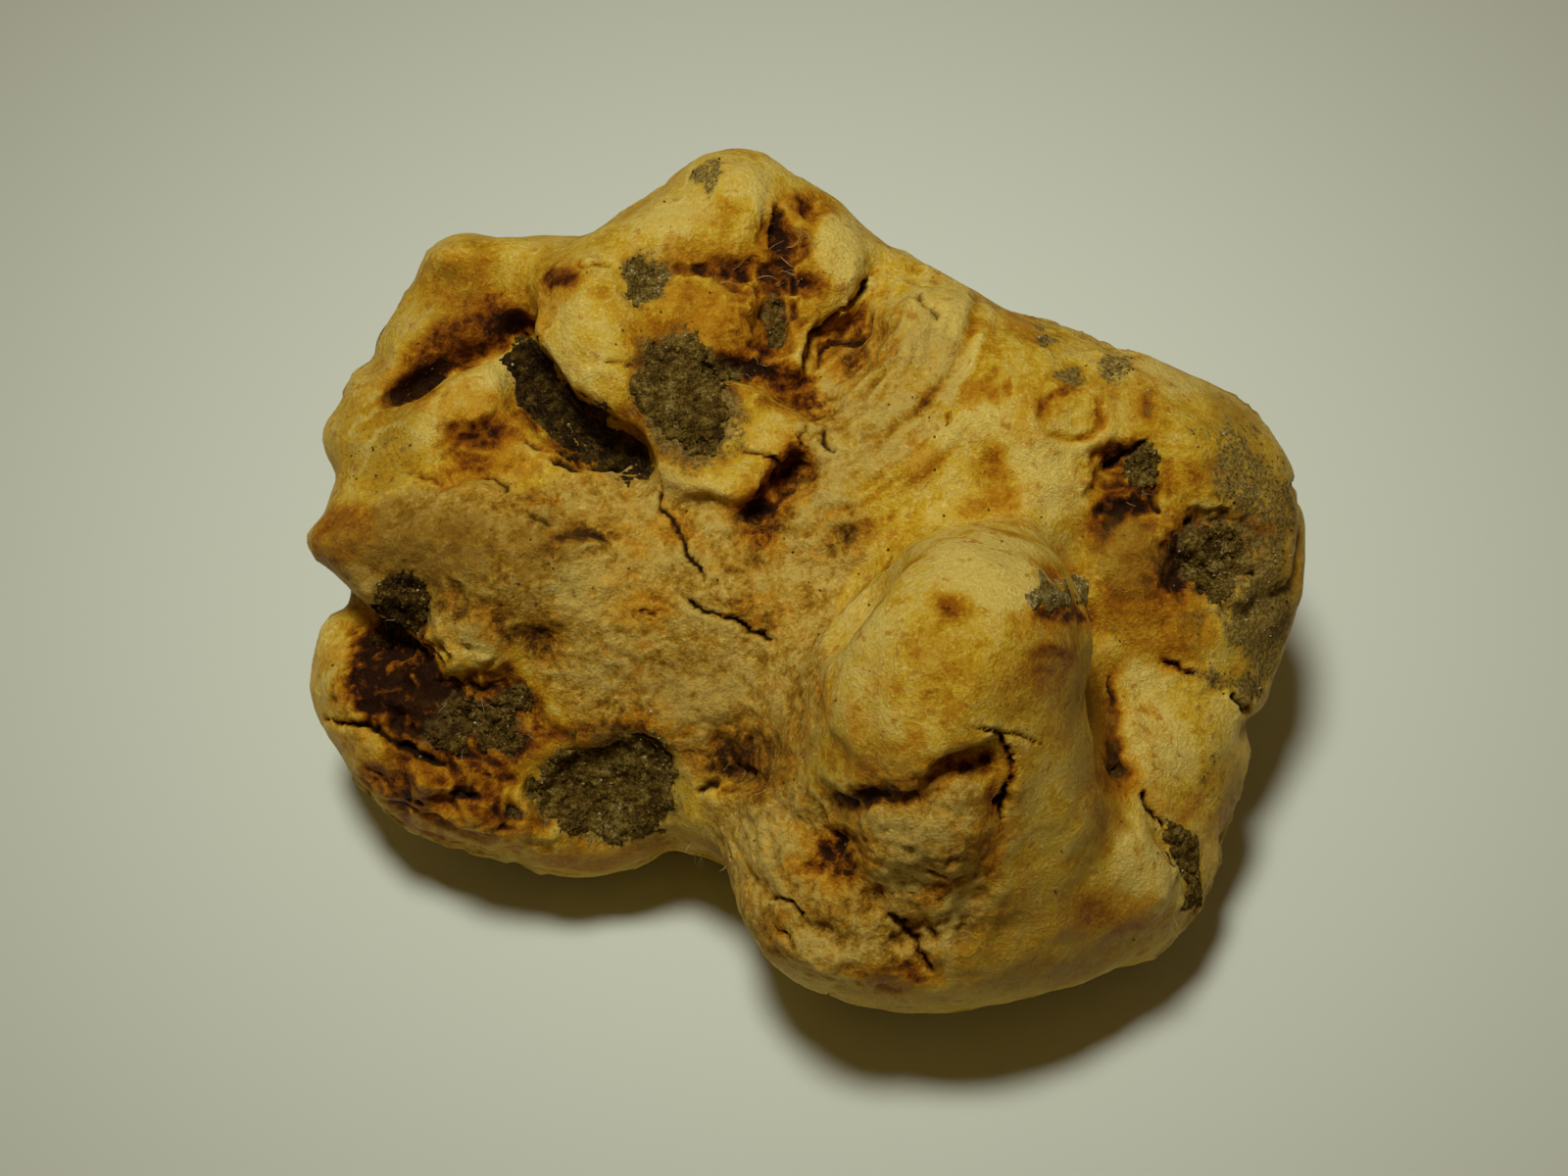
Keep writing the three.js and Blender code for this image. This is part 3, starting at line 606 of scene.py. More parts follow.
# Its colours, laid on as soft spots: pale clean skin, with painted light on the knob's top and the heel's
# ridge, amber and rust-red stains, olive soil dust rubbed into the low places, a drab brown that is painted
# shade on the flap, the lower right and the outer edges, and painted shade darkening the hollows, pits and
# cracks.
STAINS = {
    # pale: clean pale skin; the strong spots on the knob's top and the heel's ridge are also painted light
    # where the lamp falls full
    "pale": [
        (21.6, -17, 1.6, 3, 0.9, 12), (6, -21, 4, 1.6, 0.4, -10), (-10, -16, 3.4, 0.8, 0.2),
        (-11.6, 15.4, 3.2, 3.6, 0.2), (-10.8, 12.4, 2.2, 1.2, 0.7, -30), (-2.5, 24.2, 3.4, 1.6, 0.35),
        (-6.5, 22, 3, 1.3, 0.6, 25), (-1.3, 23.2, 0.9, 1.4, 0.8, 20), (3.4, 20.3, 1.6, 2.4, 0.9, 10),
        (-18.2, 12.6, 1.4, 2.4, 0.9, -45), (-21.2, 10.3, 2.4, 1, 0.6, 40), (-2, 10, 2, 1.4, 0.6, -20),
        (-4.2, 6.8, 3.4, 0.9, 0.2, -10), (16.2, 7, 3.2, 3, 0.9), (9.3, 15, 2.2, 2.6, 0.7),
        (22, 13, 3.4, 1.1, 0.6, -15), (13.2, 1.2, 4, 2.4, 1, -10), (6, -7.4, 3.2, 1.4, 0.5),
        (4.2, -2.4, 1.4, 2.4, 0.5, -30), (22.4, -9.3, 1.9, 2.8, 1, 15), (21.9, -5.6, 1.6, 0.9, 0.8),
        (22.3, -17, 1.5, 2.4, 0.6, 10), (-27.4, -4.4, 1.3, 2.8, 0.7, 10), (7.8, -14.3, 3.6, 1.2, 0.55, 10),
        (10.6, -19.4, 1, 2.8, 0.8, -15), (6.6, -17, 1.8, 0.6, 0.8, -10), (-1.8, -15, 1.6, 1.8, 0.5),
        (2.4, -21.4, 1.8, 0.7, 0.6, -20), (1.5, 19.7, 0.8, 1, 0.3), (11.2, 9.2, 3, 1.4, 0.5, 30),
        (-12, 0.4, 2.6, 2, 0.5), (-4.6, -6.8, 2.4, 1.6, 0.5), (0.8, 1.5, 1.8, 1.2, 0.4, 30),
        (1.8, 5.4, 2, 1.2, 0.5, 15), (-19, -3.6, 2, 1.4, 0.8, -20), (9.6, -22.6, 0.6, 1, 0.6),
        (26.4, -10, 1, 3, 0.3), (9.3, 4.4, 1.4, 0.6, 0.5, 30), (5, -4.6, 2.2, 3.8, 0.6, -20),
        (-23.3, 15, 1.2, 3.4, 0.5, -35), (-24, 13.2, 0.8, 0.16, 1, 50), (-23.5, 14.1, 0.9, 0.16, 1, 55),
        (-23.2, 15.1, 0.9, 0.16, 1, 50), (-22.7, 16.2, 0.8, 0.15, 1, 60), (-22, 17.2, 0.7, 0.15, 1, 55),
        (-24.9, 11.4, 1, 0.16, 1, 40), (-25.3, 10, 1, 0.17, 1, 50), (-24.5, 9, 0.9, 0.15, 1, 45),
        (-25, 7.8, 0.8, 0.15, 1, 60), (-23.4, 10, 0.8, 0.15, 1, 40), (-20, 12, 2.2, 0.5, 0.8, 38),
        (-19.3, -3.3, 2.1, 1.8, 1, -20), (5.6, -14.8, 2.6, 1.4, 0.4), (-9.6, -16.2, 3.8, 1.2, 0.4),
    ],
    "amber": [
        (-18, 9.6, 3, 2.4, 1, 10), (-5, 16.4, 2.4, 1.8, 1), (-6, 19.9, 3.4, 1, 0.7),
        (-4.4, 22.7, 1.6, 1, 0.6), (13, 6.4, 1.3, 2.2, 0.9, 10), (11.6, 11.6, 1.3, 1, 0.8, 20),
        (8.4, 7.4, 2, 0.9, 0.7, 25), (12.4, 4.6, 2.6, 0.8, 0.6), (13.4, 12.3, 0.5, 0.5, 1),
        (14.5, 15.5, 1.4, 0.8, 0.7, -25), (6, -10.4, 3.6, 1.8, 0.6, -10), (3.1, -6.4, 1, 2.4, 0.6, 20),
        (16.3, -4, 1.5, 1.2, 0.8), (9.9, -1.2, 1.2, 1.3, 0.8), (-19.5, -12.8, 6.4, 2.4, 0.95, -17),
        (-26.6, 3.2, 2.4, 1.6, 1, 20), (-14, -10.2, 1.5, 1.1, 0.9), (-22.8, -7.3, 2.8, 1, 0.7, -15),
        (22.6, -2.6, 3.2, 1.6, 0.8), (21.2, 0.6, 1.5, 2.6, 0.7), (24.4, -12.6, 2.2, 1.6, 0.5),
        (21.4, -19.8, 2.4, 1, 0.7, 10), (6.8, -22.9, 3.8, 1.1, 0.9), (-0.3, -20.6, 1.2, 1.4, 0.6),
        (12.2, -15.2, 1.1, 2.5, 0.9), (2.4, -16.6, 2, 1.3, 0.7, -10), (9.2, -18.3, 1, 0.8, 0.9),
        (-0.6, 9.2, 2.2, 1.1, 0.6), (-20, 7, 3.2, 0.8, 0.6), (10.2, -21.8, 1, 0.7, 0.8, 40),
        (11.6, 15.6, 0.7, 0.5, 0.8), (8.8, 11.8, 1, 0.5, 0.7, 30), (-11.4, 18, 1.2, 0.8, 0.5),
        (22, -7.4, 0.7, 0.5, 0.6), (-16, 5.4, 3, 0.7, 0.5), (-22.5, 13.6, 2.4, 0.7, 0.5, 40),
        (25.6, 7, 0.6, 1.2, 0.5), (19.4, -13.4, 0.8, 2.6, 0.5), (7.8, -8.6, 1, 0.6, 0.5),
        (3.4, 4.2, 2.6, 0.5, 0.7, 25), (-9, -8.2, 4, 0.7, 0.6), (-12, -16, 5, 0.9, 0.6, -5),
        (9.6, -5.6, 6.5, 4.4, 0.4), (-19.8, 18.2, 3.4, 2.2, 0.6, 35), (-10, -16.2, 4.6, 1.4, 1),
        (14, -5.4, 2.4, 2, 0.5),
    ],
    "rust": [
        (-12.4, 2.9, 2.2, 0.5, 0.55), (-14.8, -3.4, 1.2, 0.9, 0.55, -30), (-11, -8.5, 3.6, 0.6, 0.6),
        (-1.6, -1.9, 1.4, 0.5, 0.45, -20), (-2.4, 1.6, 1, 0.6, 0.4), (-21.4, -9.6, 2.6, 1, 0.8, -15),
        (-18.6, -10.6, 3, 0.8, 0.7, -15), (-24.6, -6.6, 1.6, 1.4, 0.75), (-16.2, -9.2, 1.8, 0.8, 0.7),
        (-17.6, -6, 2.6, 0.9, 0.7, -10), (-22, -3.4, 2, 0.7, 0.9, -35), (-22.4, -7, 4.6, 2.9, 0.85, -20),
        (-20.4, -12.4, 5, 1.8, 0.4, -17), (-17.2, -5.6, 2, 0.7, 0.6, -30), (-1, 17.4, 2.6, 2.8, 0.55),
        (0, 19.7, 1.9, 1.1, 0.6), (-7.8, 14, 1.6, 2.6, 0.5, 15), (-21.8, 12.5, 2.2, 0.7, 1, 30),
        (-18.4, 14.3, 2.2, 0.8, 1, 38), (-16, 16.2, 1, 0.9, 1), (-6, 8.4, 2, 0.8, 0.4, -30),
        (-4, 10, 0.8, 2, 0.5, 25), (21.5, -1, 3, 1, 0.4), (12.6, -12.6, 0.5, 1.8, 0.6),
        (9.4, -10.3, 1.6, 0.5, 0.4, 10), (4, -20, 2.4, 1.4, 0.35, -20), (10.2, -17, 1.2, 0.8, 0.35),
        (6.8, -20.4, 1.4, 0.8, 0.45, -30), (19.8, -7.4, 0.4, 2.6, 0.6), (24.9, 6.5, 0.6, 1.2, 0.4),
        (17, 9, 1.6, 0.3, 0.7), (15.5, 10.8, 0.3, 1.1, 0.7), (-19, 15.2, 3.8, 1.2, 0.85, 28),
        (-23.4, 11.9, 1.4, 0.6, 0.6, 35), (-13.5, 18.8, 0.8, 0.6, 0.9), (-0.3, 21, 1, 1.5, 0.9),
        (1.3, 22.9, 0.9, 0.5, 0.8, -30), (2.7, 22.7, 0.5, 0.5, 0.5), (-2.6, 18.9, 4.2, 0.7, 0.75, -5),
        (1.2, 18.6, 1, 0.8, 1), (-1, 16, 1.5, 2.2, 0.6), (-2.4, 13.4, 2.6, 0.8, 1, -10),
        (0, 12, 1.8, 0.9, 0.8, -35), (-8.4, 12.6, 0.9, 3.2, 0.6, 10), (-3.2, 11.4, 0.8, 1.4, 0.7, 30),
        (-1.2, 4.8, 1.6, 1.2, 0.95), (0.5, 7, 1.1, 1.7, 0.95, -20), (-1.4, 3.2, 0.6, 0.9, 0.6),
        (20.2, 6, 2.2, 2.4, 0.8, 30), (19.3, 4.2, 1.5, 0.9, 0.8), (24.2, 1.4, 1.8, 2.4, 0.75, -20),
        (28.4, 3, 0.9, 1, 0.6), (21.4, -0.2, 2.4, 0.9, 0.55), (16.3, 0.9, 0.9, 0.45, 1, -10),
        (15.9, -1.6, 0.9, 0.45, 1), (17.6, -1.8, 0.8, 0.4, 0.8, 10), (20, -10.4, 0.8, 1.2, 1),
        (5.4, -12.8, 2.4, 0.6, 0.85), (10.4, -11, 2.4, 0.9, 0.5, 10), (13.4, -10.8, 0.5, 1.8, 0.7),
        (3.3, -15.9, 1.3, 1.3, 0.85, -30), (-2.6, -10.2, 2, 2, 0.65), (-24.2, -4.2, 2.3, 1.7, 0.9),
        (-23, -6, 1.2, 1.2, 0.8), (-22.6, -12.7, 1.4, 0.7, 0.7, -20), (-19.5, -12.3, 1.3, 0.5, 0.9, -15),
        (-16.8, -13.4, 1, 0.8, 0.7), (-21, -14.1, 1.6, 0.5, 0.6, -20), (-24.8, -11.2, 0.9, 0.6, 0.5, -30),
        (-18.2, 9, 1.4, 1.1, 0.7), (-18.4, 7.2, 2, 0.6, 0.5), (4, 3.4, 2.4, 0.4, 0.5, 28),
        (18.6, -19.6, 1.2, 0.7, 0.5), (7.6, -22.4, 0.6, 0.9, 0.6), (1.6, -9, 1, 0.8, 0.3),
        (-15.4, 10.2, 0.7, 0.9, 0.6), (-12.8, 8.2, 1.8, 0.5, 0.7, -15), (23.5, -4.6, 0.7, 0.3, 0.7, -20),
        (-18.8, -1.6, 1.6, 0.4, 0.6, -35), (-16.6, -3.4, 0.8, 0.6, 0.5), (3.8, 14.8, 1.7, 1.6, 0.75),
        (4.3, 16.4, 0.8, 0.8, 0.5), (-6.4, 3.7, 0.4, 0.3, 0.8), (22, 11, 0.3, 0.9, 0.6),
        (-9.2, 10.9, 2.6, 0.7, 0.6, -40), (16.6, 11.9, 1, 0.3, 0.6, 15), (18.9, 10.8, 0.3, 0.9, 0.6),
        (18.2, 9.4, 0.6, 0.3, 0.5, 40), (16.4, -3.9, 0.6, 0.5, 0.6), (15.6, -5.2, 0.5, 0.4, 0.5),
        (9.7, -0.9, 0.6, 0.7, 0.5), (22.6, 3.9, 1.4, 0.6, 0.5, 30), (23.4, 6.4, 0.5, 1, 0.5),
        (27.4, 3.4, 0.5, 1.2, 0.4), (12.6, 7.4, 0.6, 0.9, 0.3, 10), (-13.4, 2.8, 0.8, 0.4, 0.5),
        (-8.3, -1.3, 0.9, 0.3, 0.5),
    ],
    "dust": [
        (-8.2, 18.5, 1.4, 1.8, 1), (-4.6, 24.8, 0.7, 1.1, 0.9), (15.9, 15, 0.8, 0.4, 1, -20),
        (17.2, 12.8, 1.1, 0.6, 0.9, -25), (19.9, 13.2, 1.1, 1.1, 0.8), (22, 10.8, 0.5, 1.2, 0.5),
        (27.6, 6.6, 1.6, 3.4, 0.8, 20), (28.6, -1.4, 1.7, 3.6, 0.9, -5), (29.5, 3, 1.2, 5.5, 0.7),
        (27.6, -6, 1.1, 0.8, 0.9), (-24, 8.2, 2.6, 2.4, 0.3), (-22.9, -1.2, 2.2, 1.4, 1, -20),
        (-18, -8.2, 2.8, 1.5, 0.8, -20), (-21, -9, 1.4, 1, 0.6), (-10.6, -12, 3.9, 2.9, 1, 5),
        (-16.3, -13.6, 0.9, 0.8, 0.6), (24.4, -17, 0.6, 2.2, 1), (-0.6, 16.4, 1.2, 1.6, 0.6),
        (-5.8, 11.2, 2.7, 3.8, 1, 28), (-12, 10, 4.2, 1.2, 1, -42), (25.8, -5.4, 1.8, 0.7, 0.7, -20),
        (24.6, -2, 1.2, 0.7, 0.5), (21.4, 7.6, 1, 1, 0.7), (25.8, -11, 1, 2, 0.4),
        (-7.6, -9.8, 0.6, 1.6, 0.5), (25.2, 9.4, 1.2, 0.8, 0.5), (26.4, 2, 2.4, 2.6, 0.8),
        (-15.6, 1.4, 4, 2.2, 0.3, -10), (7, 12, 3, 4, 0.15), (19.6, -2.6, 0.4, 0.9, 0.6),
    ],
    # drab brown: painted shade on the flap, the lower right and the outer edges; random drab patches on the
    # hidden sides
    "drab_and_shade": [
        (-22, 2.4, 6, 2.8, 0.75), (-15, 2.8, 4, 2.4, 0.5), (-5.6, -6.4, 4.4, 2.6, 0.35, -20),
        (-20.4, 17.6, 3.4, 2, 0.4, 35), (20.6, 2, 2.6, 2.4, 0.6), (-19, -8, 5, 3, 0.15, -20),
        (28.4, 2, 2.4, 8, 0.3), (-19, 1, 6, 4, 0.3), (-24.4, 9, 2.4, 3.4, 0.4),
        (-23.8, 14.6, 1.3, 3.2, 0.4, -25), (15.5, -20.6, 6, 4, 0.55, 10), (18.2, -9, 1.8, 6.5, 0.6, 10),
        (30.4, 1, 1.6, 8, 0.5), (-22.6, 17, 2.4, 3.6, 0.3, -35), (15.2, -5, 1.6, 1.2, 0.4),
        (26.8, 11, 2, 1.4, 0.5, -40), (27, -13, 0.9, 3.4, 0.5, 10), (-22, 2.6, 4.6, 1.8, 0.4),
        (-1.2, -10, 1.8, 3, 0.3), (6, -24.8, 8, 0.8, 0.25), (17, 3.6, 0.8, 2.6, 0.4),
    ],
    # deep: the dark rust-red of the pits, furrows and cracks, and painted shade in these recesses, such as
    # the furrow under the ear and the crease under the knob's lip
    "deep": [
        (-23, -5.4, 3.4, 2.6, 1, -25), (-20.4, -8, 3, 1.6, 0.8, -20), (-16.6, -7.6, 2.6, 2, 0.6, -30),
        (-21.8, 12.2, 2.4, 0.7, 0.8, 30), (-17, 15.4, 1.8, 0.7, 0.9, 35), (-14, 18.6, 0.6, 0.5, 0.5),
        (-0.3, 21.2, 0.6, 1, 0.4), (-2.6, 13.3, 2, 0.5, 1, -8), (1.2, 12.2, 1.4, 0.5, 0.7, -45),
        (0.6, 18.4, 0.7, 0.5, 0.3), (2.2, 10.5, 1, 0.3, 0.7, -10), (-9.2, 8.8, 1.2, 0.6, 0.6, -45),
        (19.8, 5, 1.5, 0.8, 0.7, 10), (20, 8, 1.2, 0.5, 0.8, 35), (23.6, 1.8, 1, 2.2, 0.9, -10),
        (25.6, 4.4, 1.6, 0.6, 0.7, 10), (5.6, -12.3, 2.4, 0.4, 0.8), (11.6, -10.6, 1, 0.5, 0.4),
        (3.4, -15.8, 0.8, 0.9, 0.5, -30), (-2.8, -10.4, 1.2, 1, 0.4), (19.9, -10.4, 0.5, 0.9, 0.6),
        (-19.4, -12.4, 0.9, 0.4, 0.7, -15), (-16.4, -13.5, 0.6, 0.5, 0.5), (-17.2, -2.4, 0.5, 1.6, 0.7, 20),
    ],
}


def record_layer(mesh, name, values):
    """Stores one value for each corner of the mesh, for a material to read."""
    layer = mesh.attributes.new(name, "FLOAT", "POINT")
    layer.data.foreach_set("value", np.clip(values, 0, 1).astype(np.float32))


face = Side(points, normals, ragged=0.5)
hidden = 1 - face.shown
random = np.random.default_rng(401)
AROUND = {  # on the sides that the face doesn't show: how many stains, how wide and how strong
    "pale": (34, 3.2, 0.8), "amber": (44, 2.6, 0.9), "rust": (60, 1.1, 0.8), "dust": (34, 2.2, 0.9),
    "drab_and_shade": (16, 5, 0.8), "deep": (24, 0.7, 0.9),
}
for name, spots in STAINS.items():
    strength = strongest(face, spots) * (1.15 if name == "rust" else 1)
    if name == "dust":  # the wide patches of dust thin out past their edges
        wide_spots = [spot for spot in spots if min(spot[2:4]) > 1.5]
        strength = np.maximum(strength, strongest(face, wide_spots, 0.6))
    if name == "amber":  # every rusty mark has an amber border
        strength = np.maximum(strength, 0.9 * strongest(face, STAINS["rust"], 0.9))
    count, width, most = AROUND[name]
    for middle in face.solid[random.choice(len(points), count)]:
        away = np.linalg.norm(face.solid - middle, axis=1) / (width * random.uniform(0.4, 1.4))
        away += 0.35 * face.clumps + 0.2 * face.bits
        strength = np.maximum(strength, hidden * most * eased(0, 1, 1.3 - away))
    record_layer(body_mesh, name, strength)
record_layer(body_mesh, "torn", torn + 0.9 * rough_around)
record_layer(body_mesh, "crack", -(cracked + cracks_around) / 0.9)
# how far each corner lies below the smoothed surface: it paints shade into the hollows and draws dust into
# them
record_layer(body_mesh, "hollow", 0.5 + 2.5 * hollow)
# the fan's creases: lighter on their crests and darker in their grooves
record_layer(body_mesh, "crease", 0.5 + 0.5 * creased * creases)


class Layers:
    """A material built up in layers of colour, as a painter would: each one shows where its mask does."""

    def __init__(self, name):
        self.material = bpy.data.materials.new(name)
        self.material.use_nodes = True
        self.tree = self.material.node_tree
        self.shader = self.tree.nodes["Principled BSDF"]
        self.places = self.tree.nodes.new("ShaderNodeTexCoord").outputs["Object"]

    def fill(self, node, sockets):
        """Gives a node's sockets numbers or colours, or joins other nodes' outputs to them."""
        for name, value in sockets.items():
            if isinstance(value, bpy.types.NodeSocket):
                self.tree.links.new(value, node.inputs[name])
            else:
                node.inputs[name].default_value = value

    def node(self, kind, sockets, **settings):
        """A new node of this kind, with its settings made and its sockets filled."""
        node = self.tree.nodes.new("ShaderNode" + kind)
        for name, setting in settings.items():
            setattr(node, name, setting)
        self.fill(node, sockets)
        return node

    def noise(self, size, detail=2, roughness=0.5, distortion=0):
        """Soft random blobs about as wide as size, in millimetres."""
        sockets = {"Vector": self.places, "Scale": 1 / (size * MM), "Detail": detail}
        sockets.update({"Roughness": roughness, "Distortion": distortion})
        return self.node("TexNoise", sockets).outputs["Fac"]

    def patchy(self, size, detail=5, roughness=0.68, distortion=0.3):
        """The same with more contrast, from 0 to 1."""
        return self.rise(self.noise(size, detail, roughness, distortion), 0.33, 0.67)

    def layer(self, name):
        """What record_layer stored under this name."""
        return self.node("Attribute", {}, attribute_name=name).outputs["Fac"]

    def joined(self, kind, a, b):
        """Two values added or multiplied."""
        return self.node("Math", {0: a, 1: b}, operation=kind).outputs[0]

    def rise(self, value, low, high, start=0, end=1):
        """Start below low, end above high, and a smooth change between them."""
        sockets = {"Value": value, "From Min": low, "From Max": high, "To Min": start, "To Max": end}
        return self.node("MapRange", sockets, interpolation_type="SMOOTHSTEP").outputs[0]

    def over(self, below, above, mask):
        """One colour laid over another where the mask shows it."""
        return self.node("Mix", {"Factor": mask, 6: below, 7: above}, data_type="RGBA").outputs[2]

    def ramp(self, value, *stops):
        """A colour that follows a value, through stops of (value, colour)."""
        node = self.node("ValToRGB", {"Fac": value})
        for index, (at, colour) in enumerate(stops):
            stop = node.color_ramp.elements[index] if index < 2 else node.color_ramp.elements.new(at)
            stop.position = at
            stop.color = (*colour, 1)
        return node.outputs["Color"]

    def total(self, start, *parts):
        """A number plus several values, each times its own share."""
        value = start
        for part, share in parts:
            value = self.joined("ADD", self.joined("MULTIPLY", part, share), value)
        return value

    def mask(self, low, high, most, *parts):
        """A mask that rises from 0 to most while the parts together rise from low to high."""
        return self.rise(self.total(0, *parts), low, high, 0, most)

    def bump(self, height, depth, strength, below=None):
        """Fine relief, with depth in millimetres."""
        node = self.node("Bump", {"Strength": strength, "Distance": depth * MM, "Height": height})
        if below is not None:
            self.fill(node, {"Normal": below})
        return node.outputs["Normal"]


FRECKLE = (0.30, 0.088, 0.003, 1)
# a drab brown, painted shade where the skin falls away on the flap, the lower right and the outer edges
DRAB_AND_SHADE = (0.27, 0.137, 0.013, 1)
DRY_DUST = (0.27, 0.195, 0.05, 1)
DAMP_DUST = (0.12, 0.074, 0.012, 1)
# near black: painted shade inside the cracks
CRACK_SHADE = (0.025, 0.010, 0.003, 1)
SKIN_DULL, FLESH_DULL, DUST_DULL = ((share, share, share, 1) for share in (0.52, 0.75, 0.95))
skin = Layers("truffle_skin")
wide, middling, fine, finest = (skin.patchy(size) for size in (6, 2.2, 0.8, 0.25))
hollow_shade_and_dust = skin.layer("hollow")
lightness = skin.total(
    0.48,
    # pale skin, with painted light on the knob's top and the heel's ridge
    (skin.layer("pale"), 0.4),
    (skin.layer("amber"), -0.22),
    (skin.layer("rust"), -0.42),
    (skin.layer("drab_and_shade"), -0.18),
    # the pits' dark rust-red, and painted shade in the recesses
    (skin.layer("deep"), -0.34),
    # painted shade: darker in the hollows of the surface
    (hollow_shade_and_dust, -0.6),
    # pale fibre streaks on the creases' crests, and painted shade in their grooves
    (skin.layer("crease"), 0.42),
    (wide, 0.12),
    (middling, 0.26),
    (fine, 0.22),
    (finest, 0.14),
    (skin.joined("MULTIPLY", skin.layer("torn"), skin.total(-0.5, (fine, 0.6), (finest, 0.4))), 0.24),
    (skin.joined("MULTIPLY", skin.layer("deep"), skin.total(-0.5, (middling, 0.5), (fine, 0.5))), 0.6),
)
waxy = skin.ramp(
    lightness,
    (0.0, (0.028, 0.008, 0.002)), (0.13, (0.115, 0.028, 0.002)), (0.26, (0.26, 0.080, 0.003)),
    (0.41, (0.42, 0.175, 0.005)), (0.56, (0.56, 0.30, 0.010)), (0.73, (0.70, 0.455, 0.034)),
    (0.97, (0.80, 0.60, 0.125)),
)
flesh = skin.ramp(
    lightness,
    (0.0, (0.036, 0.013, 0.003)), (0.15, (0.09, 0.035, 0.004)), (0.32, (0.20, 0.090, 0.006)),
    (0.48, (0.33, 0.165, 0.010)), (0.65, (0.48, 0.275, 0.025)), (0.9, (0.64, 0.45, 0.09)),
)
torn_mask = skin.mask(0.4, 0.95, 1, (skin.layer("torn"), 1), (middling, 0.3), (fine, 0.2))
colour = skin.over(waxy, flesh, torn_mask)
soaked = skin.patchy(1.6, 7, 0.78, 0.1)
orange_mask = skin.mask(0.65, 1.25, 0.85, (soaked, 0.8), (skin.layer("amber"), 0.6), (wide, 0.45))
orange = skin.ramp(
    lightness,
    (0.0, (0.022, 0.006, 0.002)), (0.2, (0.11, 0.025, 0.002)), (0.4, (0.31, 0.092, 0.003)),
    (0.62, (0.50, 0.20, 0.005)), (0.9, (0.66, 0.34, 0.015)),
)
colour = skin.over(colour, orange, orange_mask)
freckles = skin.mask(0.65, 0.8, 0.42, (skin.noise(0.8, 2, 0.55), 1), (soaked, 0.1))
colour = skin.over(colour, FRECKLE, freckles)
# Painted shade: the drab brown darkens the flap, the lower right and the outer edges.
drab_and_shade_mask = skin.mask(0.15, 1.2, 0.8, (skin.layer("drab_and_shade"), 1), (middling, 0.3))
colour = skin.over(colour, DRAB_AND_SHADE, drab_and_shade_mask)
dust = skin.over(DRY_DUST, DAMP_DUST, skin.rise(finest, 0.45, 0.68))
dust_parts = (skin.layer("dust"), 1), (fine, 0.4), (finest, 0.35), (hollow_shade_and_dust, 0.3)
dust_mask = skin.mask(0.85, 1.4, 0.9, *dust_parts)
colour = skin.over(colour, dust, dust_mask)
# Painted shade: the cracks are coloured near black, deepest where they cut deepest.
colour = skin.over(colour, CRACK_SHADE, skin.rise(skin.layer("crack"), 0.12, 0.7, 0, 0.95))
dull = skin.over(SKIN_DULL, FLESH_DULL, torn_mask)
dull = skin.over(dull, DUST_DULL, dust_mask)
small_relief = skin.bump(skin.noise(0.13, 3, 0.7), 0.06, 0.6)
small_relief = skin.bump(finest, 0.12, 0.7, small_relief)
small_relief = skin.bump(fine, 0.15, 0.35, small_relief)
skin.fill(skin.shader, {
    "Base Color": colour, "Roughness": skin.total(-0.08, (dull, 1), (fine, 0.1)),
    "Specular IOR Level": 0.16, "Specular Tint": (1, 0.8, 0.5, 1), "Normal": small_relief,
})
body_mesh.materials.append(skin.material)
body_mesh.shade_smooth()
fruit_body = in_scene("fruit_body_flesh", body_mesh)
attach(fruit_body, "root")
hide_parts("fruit_body")


# The soil left on it: dark sandy earth, packed damp into its hollows and then dried there. Each patch is
# a crust of stuck grains that follows the hollow under it, with loose and glassy grains on top.
soil = Layers("soil")
clods, bits, specks = (soil.patchy(size) for size in (1.2, 0.4, 0.15))
tone = soil.total(-0.5, (soil.layer("tone"), 1), (clods, 0.35), (bits, 0.35), (specks, 0.3))
soil_colour = soil.ramp(
    tone,
    (0.0, (0.014, 0.007, 0.002)), (0.25, (0.050, 0.026, 0.004)), (0.45, (0.115, 0.066, 0.007)),
    (0.65, (0.20, 0.130, 0.020)), (0.88, (0.33, 0.25, 0.07)), (1.0, (0.70, 0.62, 0.38)),
)
soil.fill(soil.shader, {
    "Base Color": soil_colour, "Roughness": soil.rise(tone, 0.8, 1, 0.95, 0.25),
    "Specular IOR Level": 0.1, "Normal": soil.bump(specks, 0.08, 0.8),
})
face = Side(points, normals, ragged=0.5)
body_shape = shape_of(body_mesh)
body_shape.verts.ensure_lookup_table()


def region_of(shape, chosen):
    """A separate copy of the faces whose corners are all chosen."""
    region = bmesh.new()
    copies = {}
    near = {polygon for index in np.flatnonzero(chosen) for polygon in shape.verts[index].link_faces}
    for polygon in sorted(near, key=lambda polygon: polygon.index):
        if all(chosen[corner.index] for corner in polygon.verts):
            for corner in polygon.verts:
                if corner.index not in copies:
                    copies[corner.index] = region.verts.new(corner.co)
            region.faces.new([copies[corner.index] for corner in polygon.verts])
    region.normal_update()
    return region


pebble = bmesh.new()
bmesh.ops.create_icosphere(pebble, subdivisions=1, radius=1)
PEBBLE_CORNERS = [corner.co.copy() for corner in pebble.verts]
PEBBLE_FACES = [[corner.index for corner in polygon.verts] for polygon in pebble.faces]
pebble.free()
GLASSY_SHARE = 0.008
CRUST_SINK = 0.35


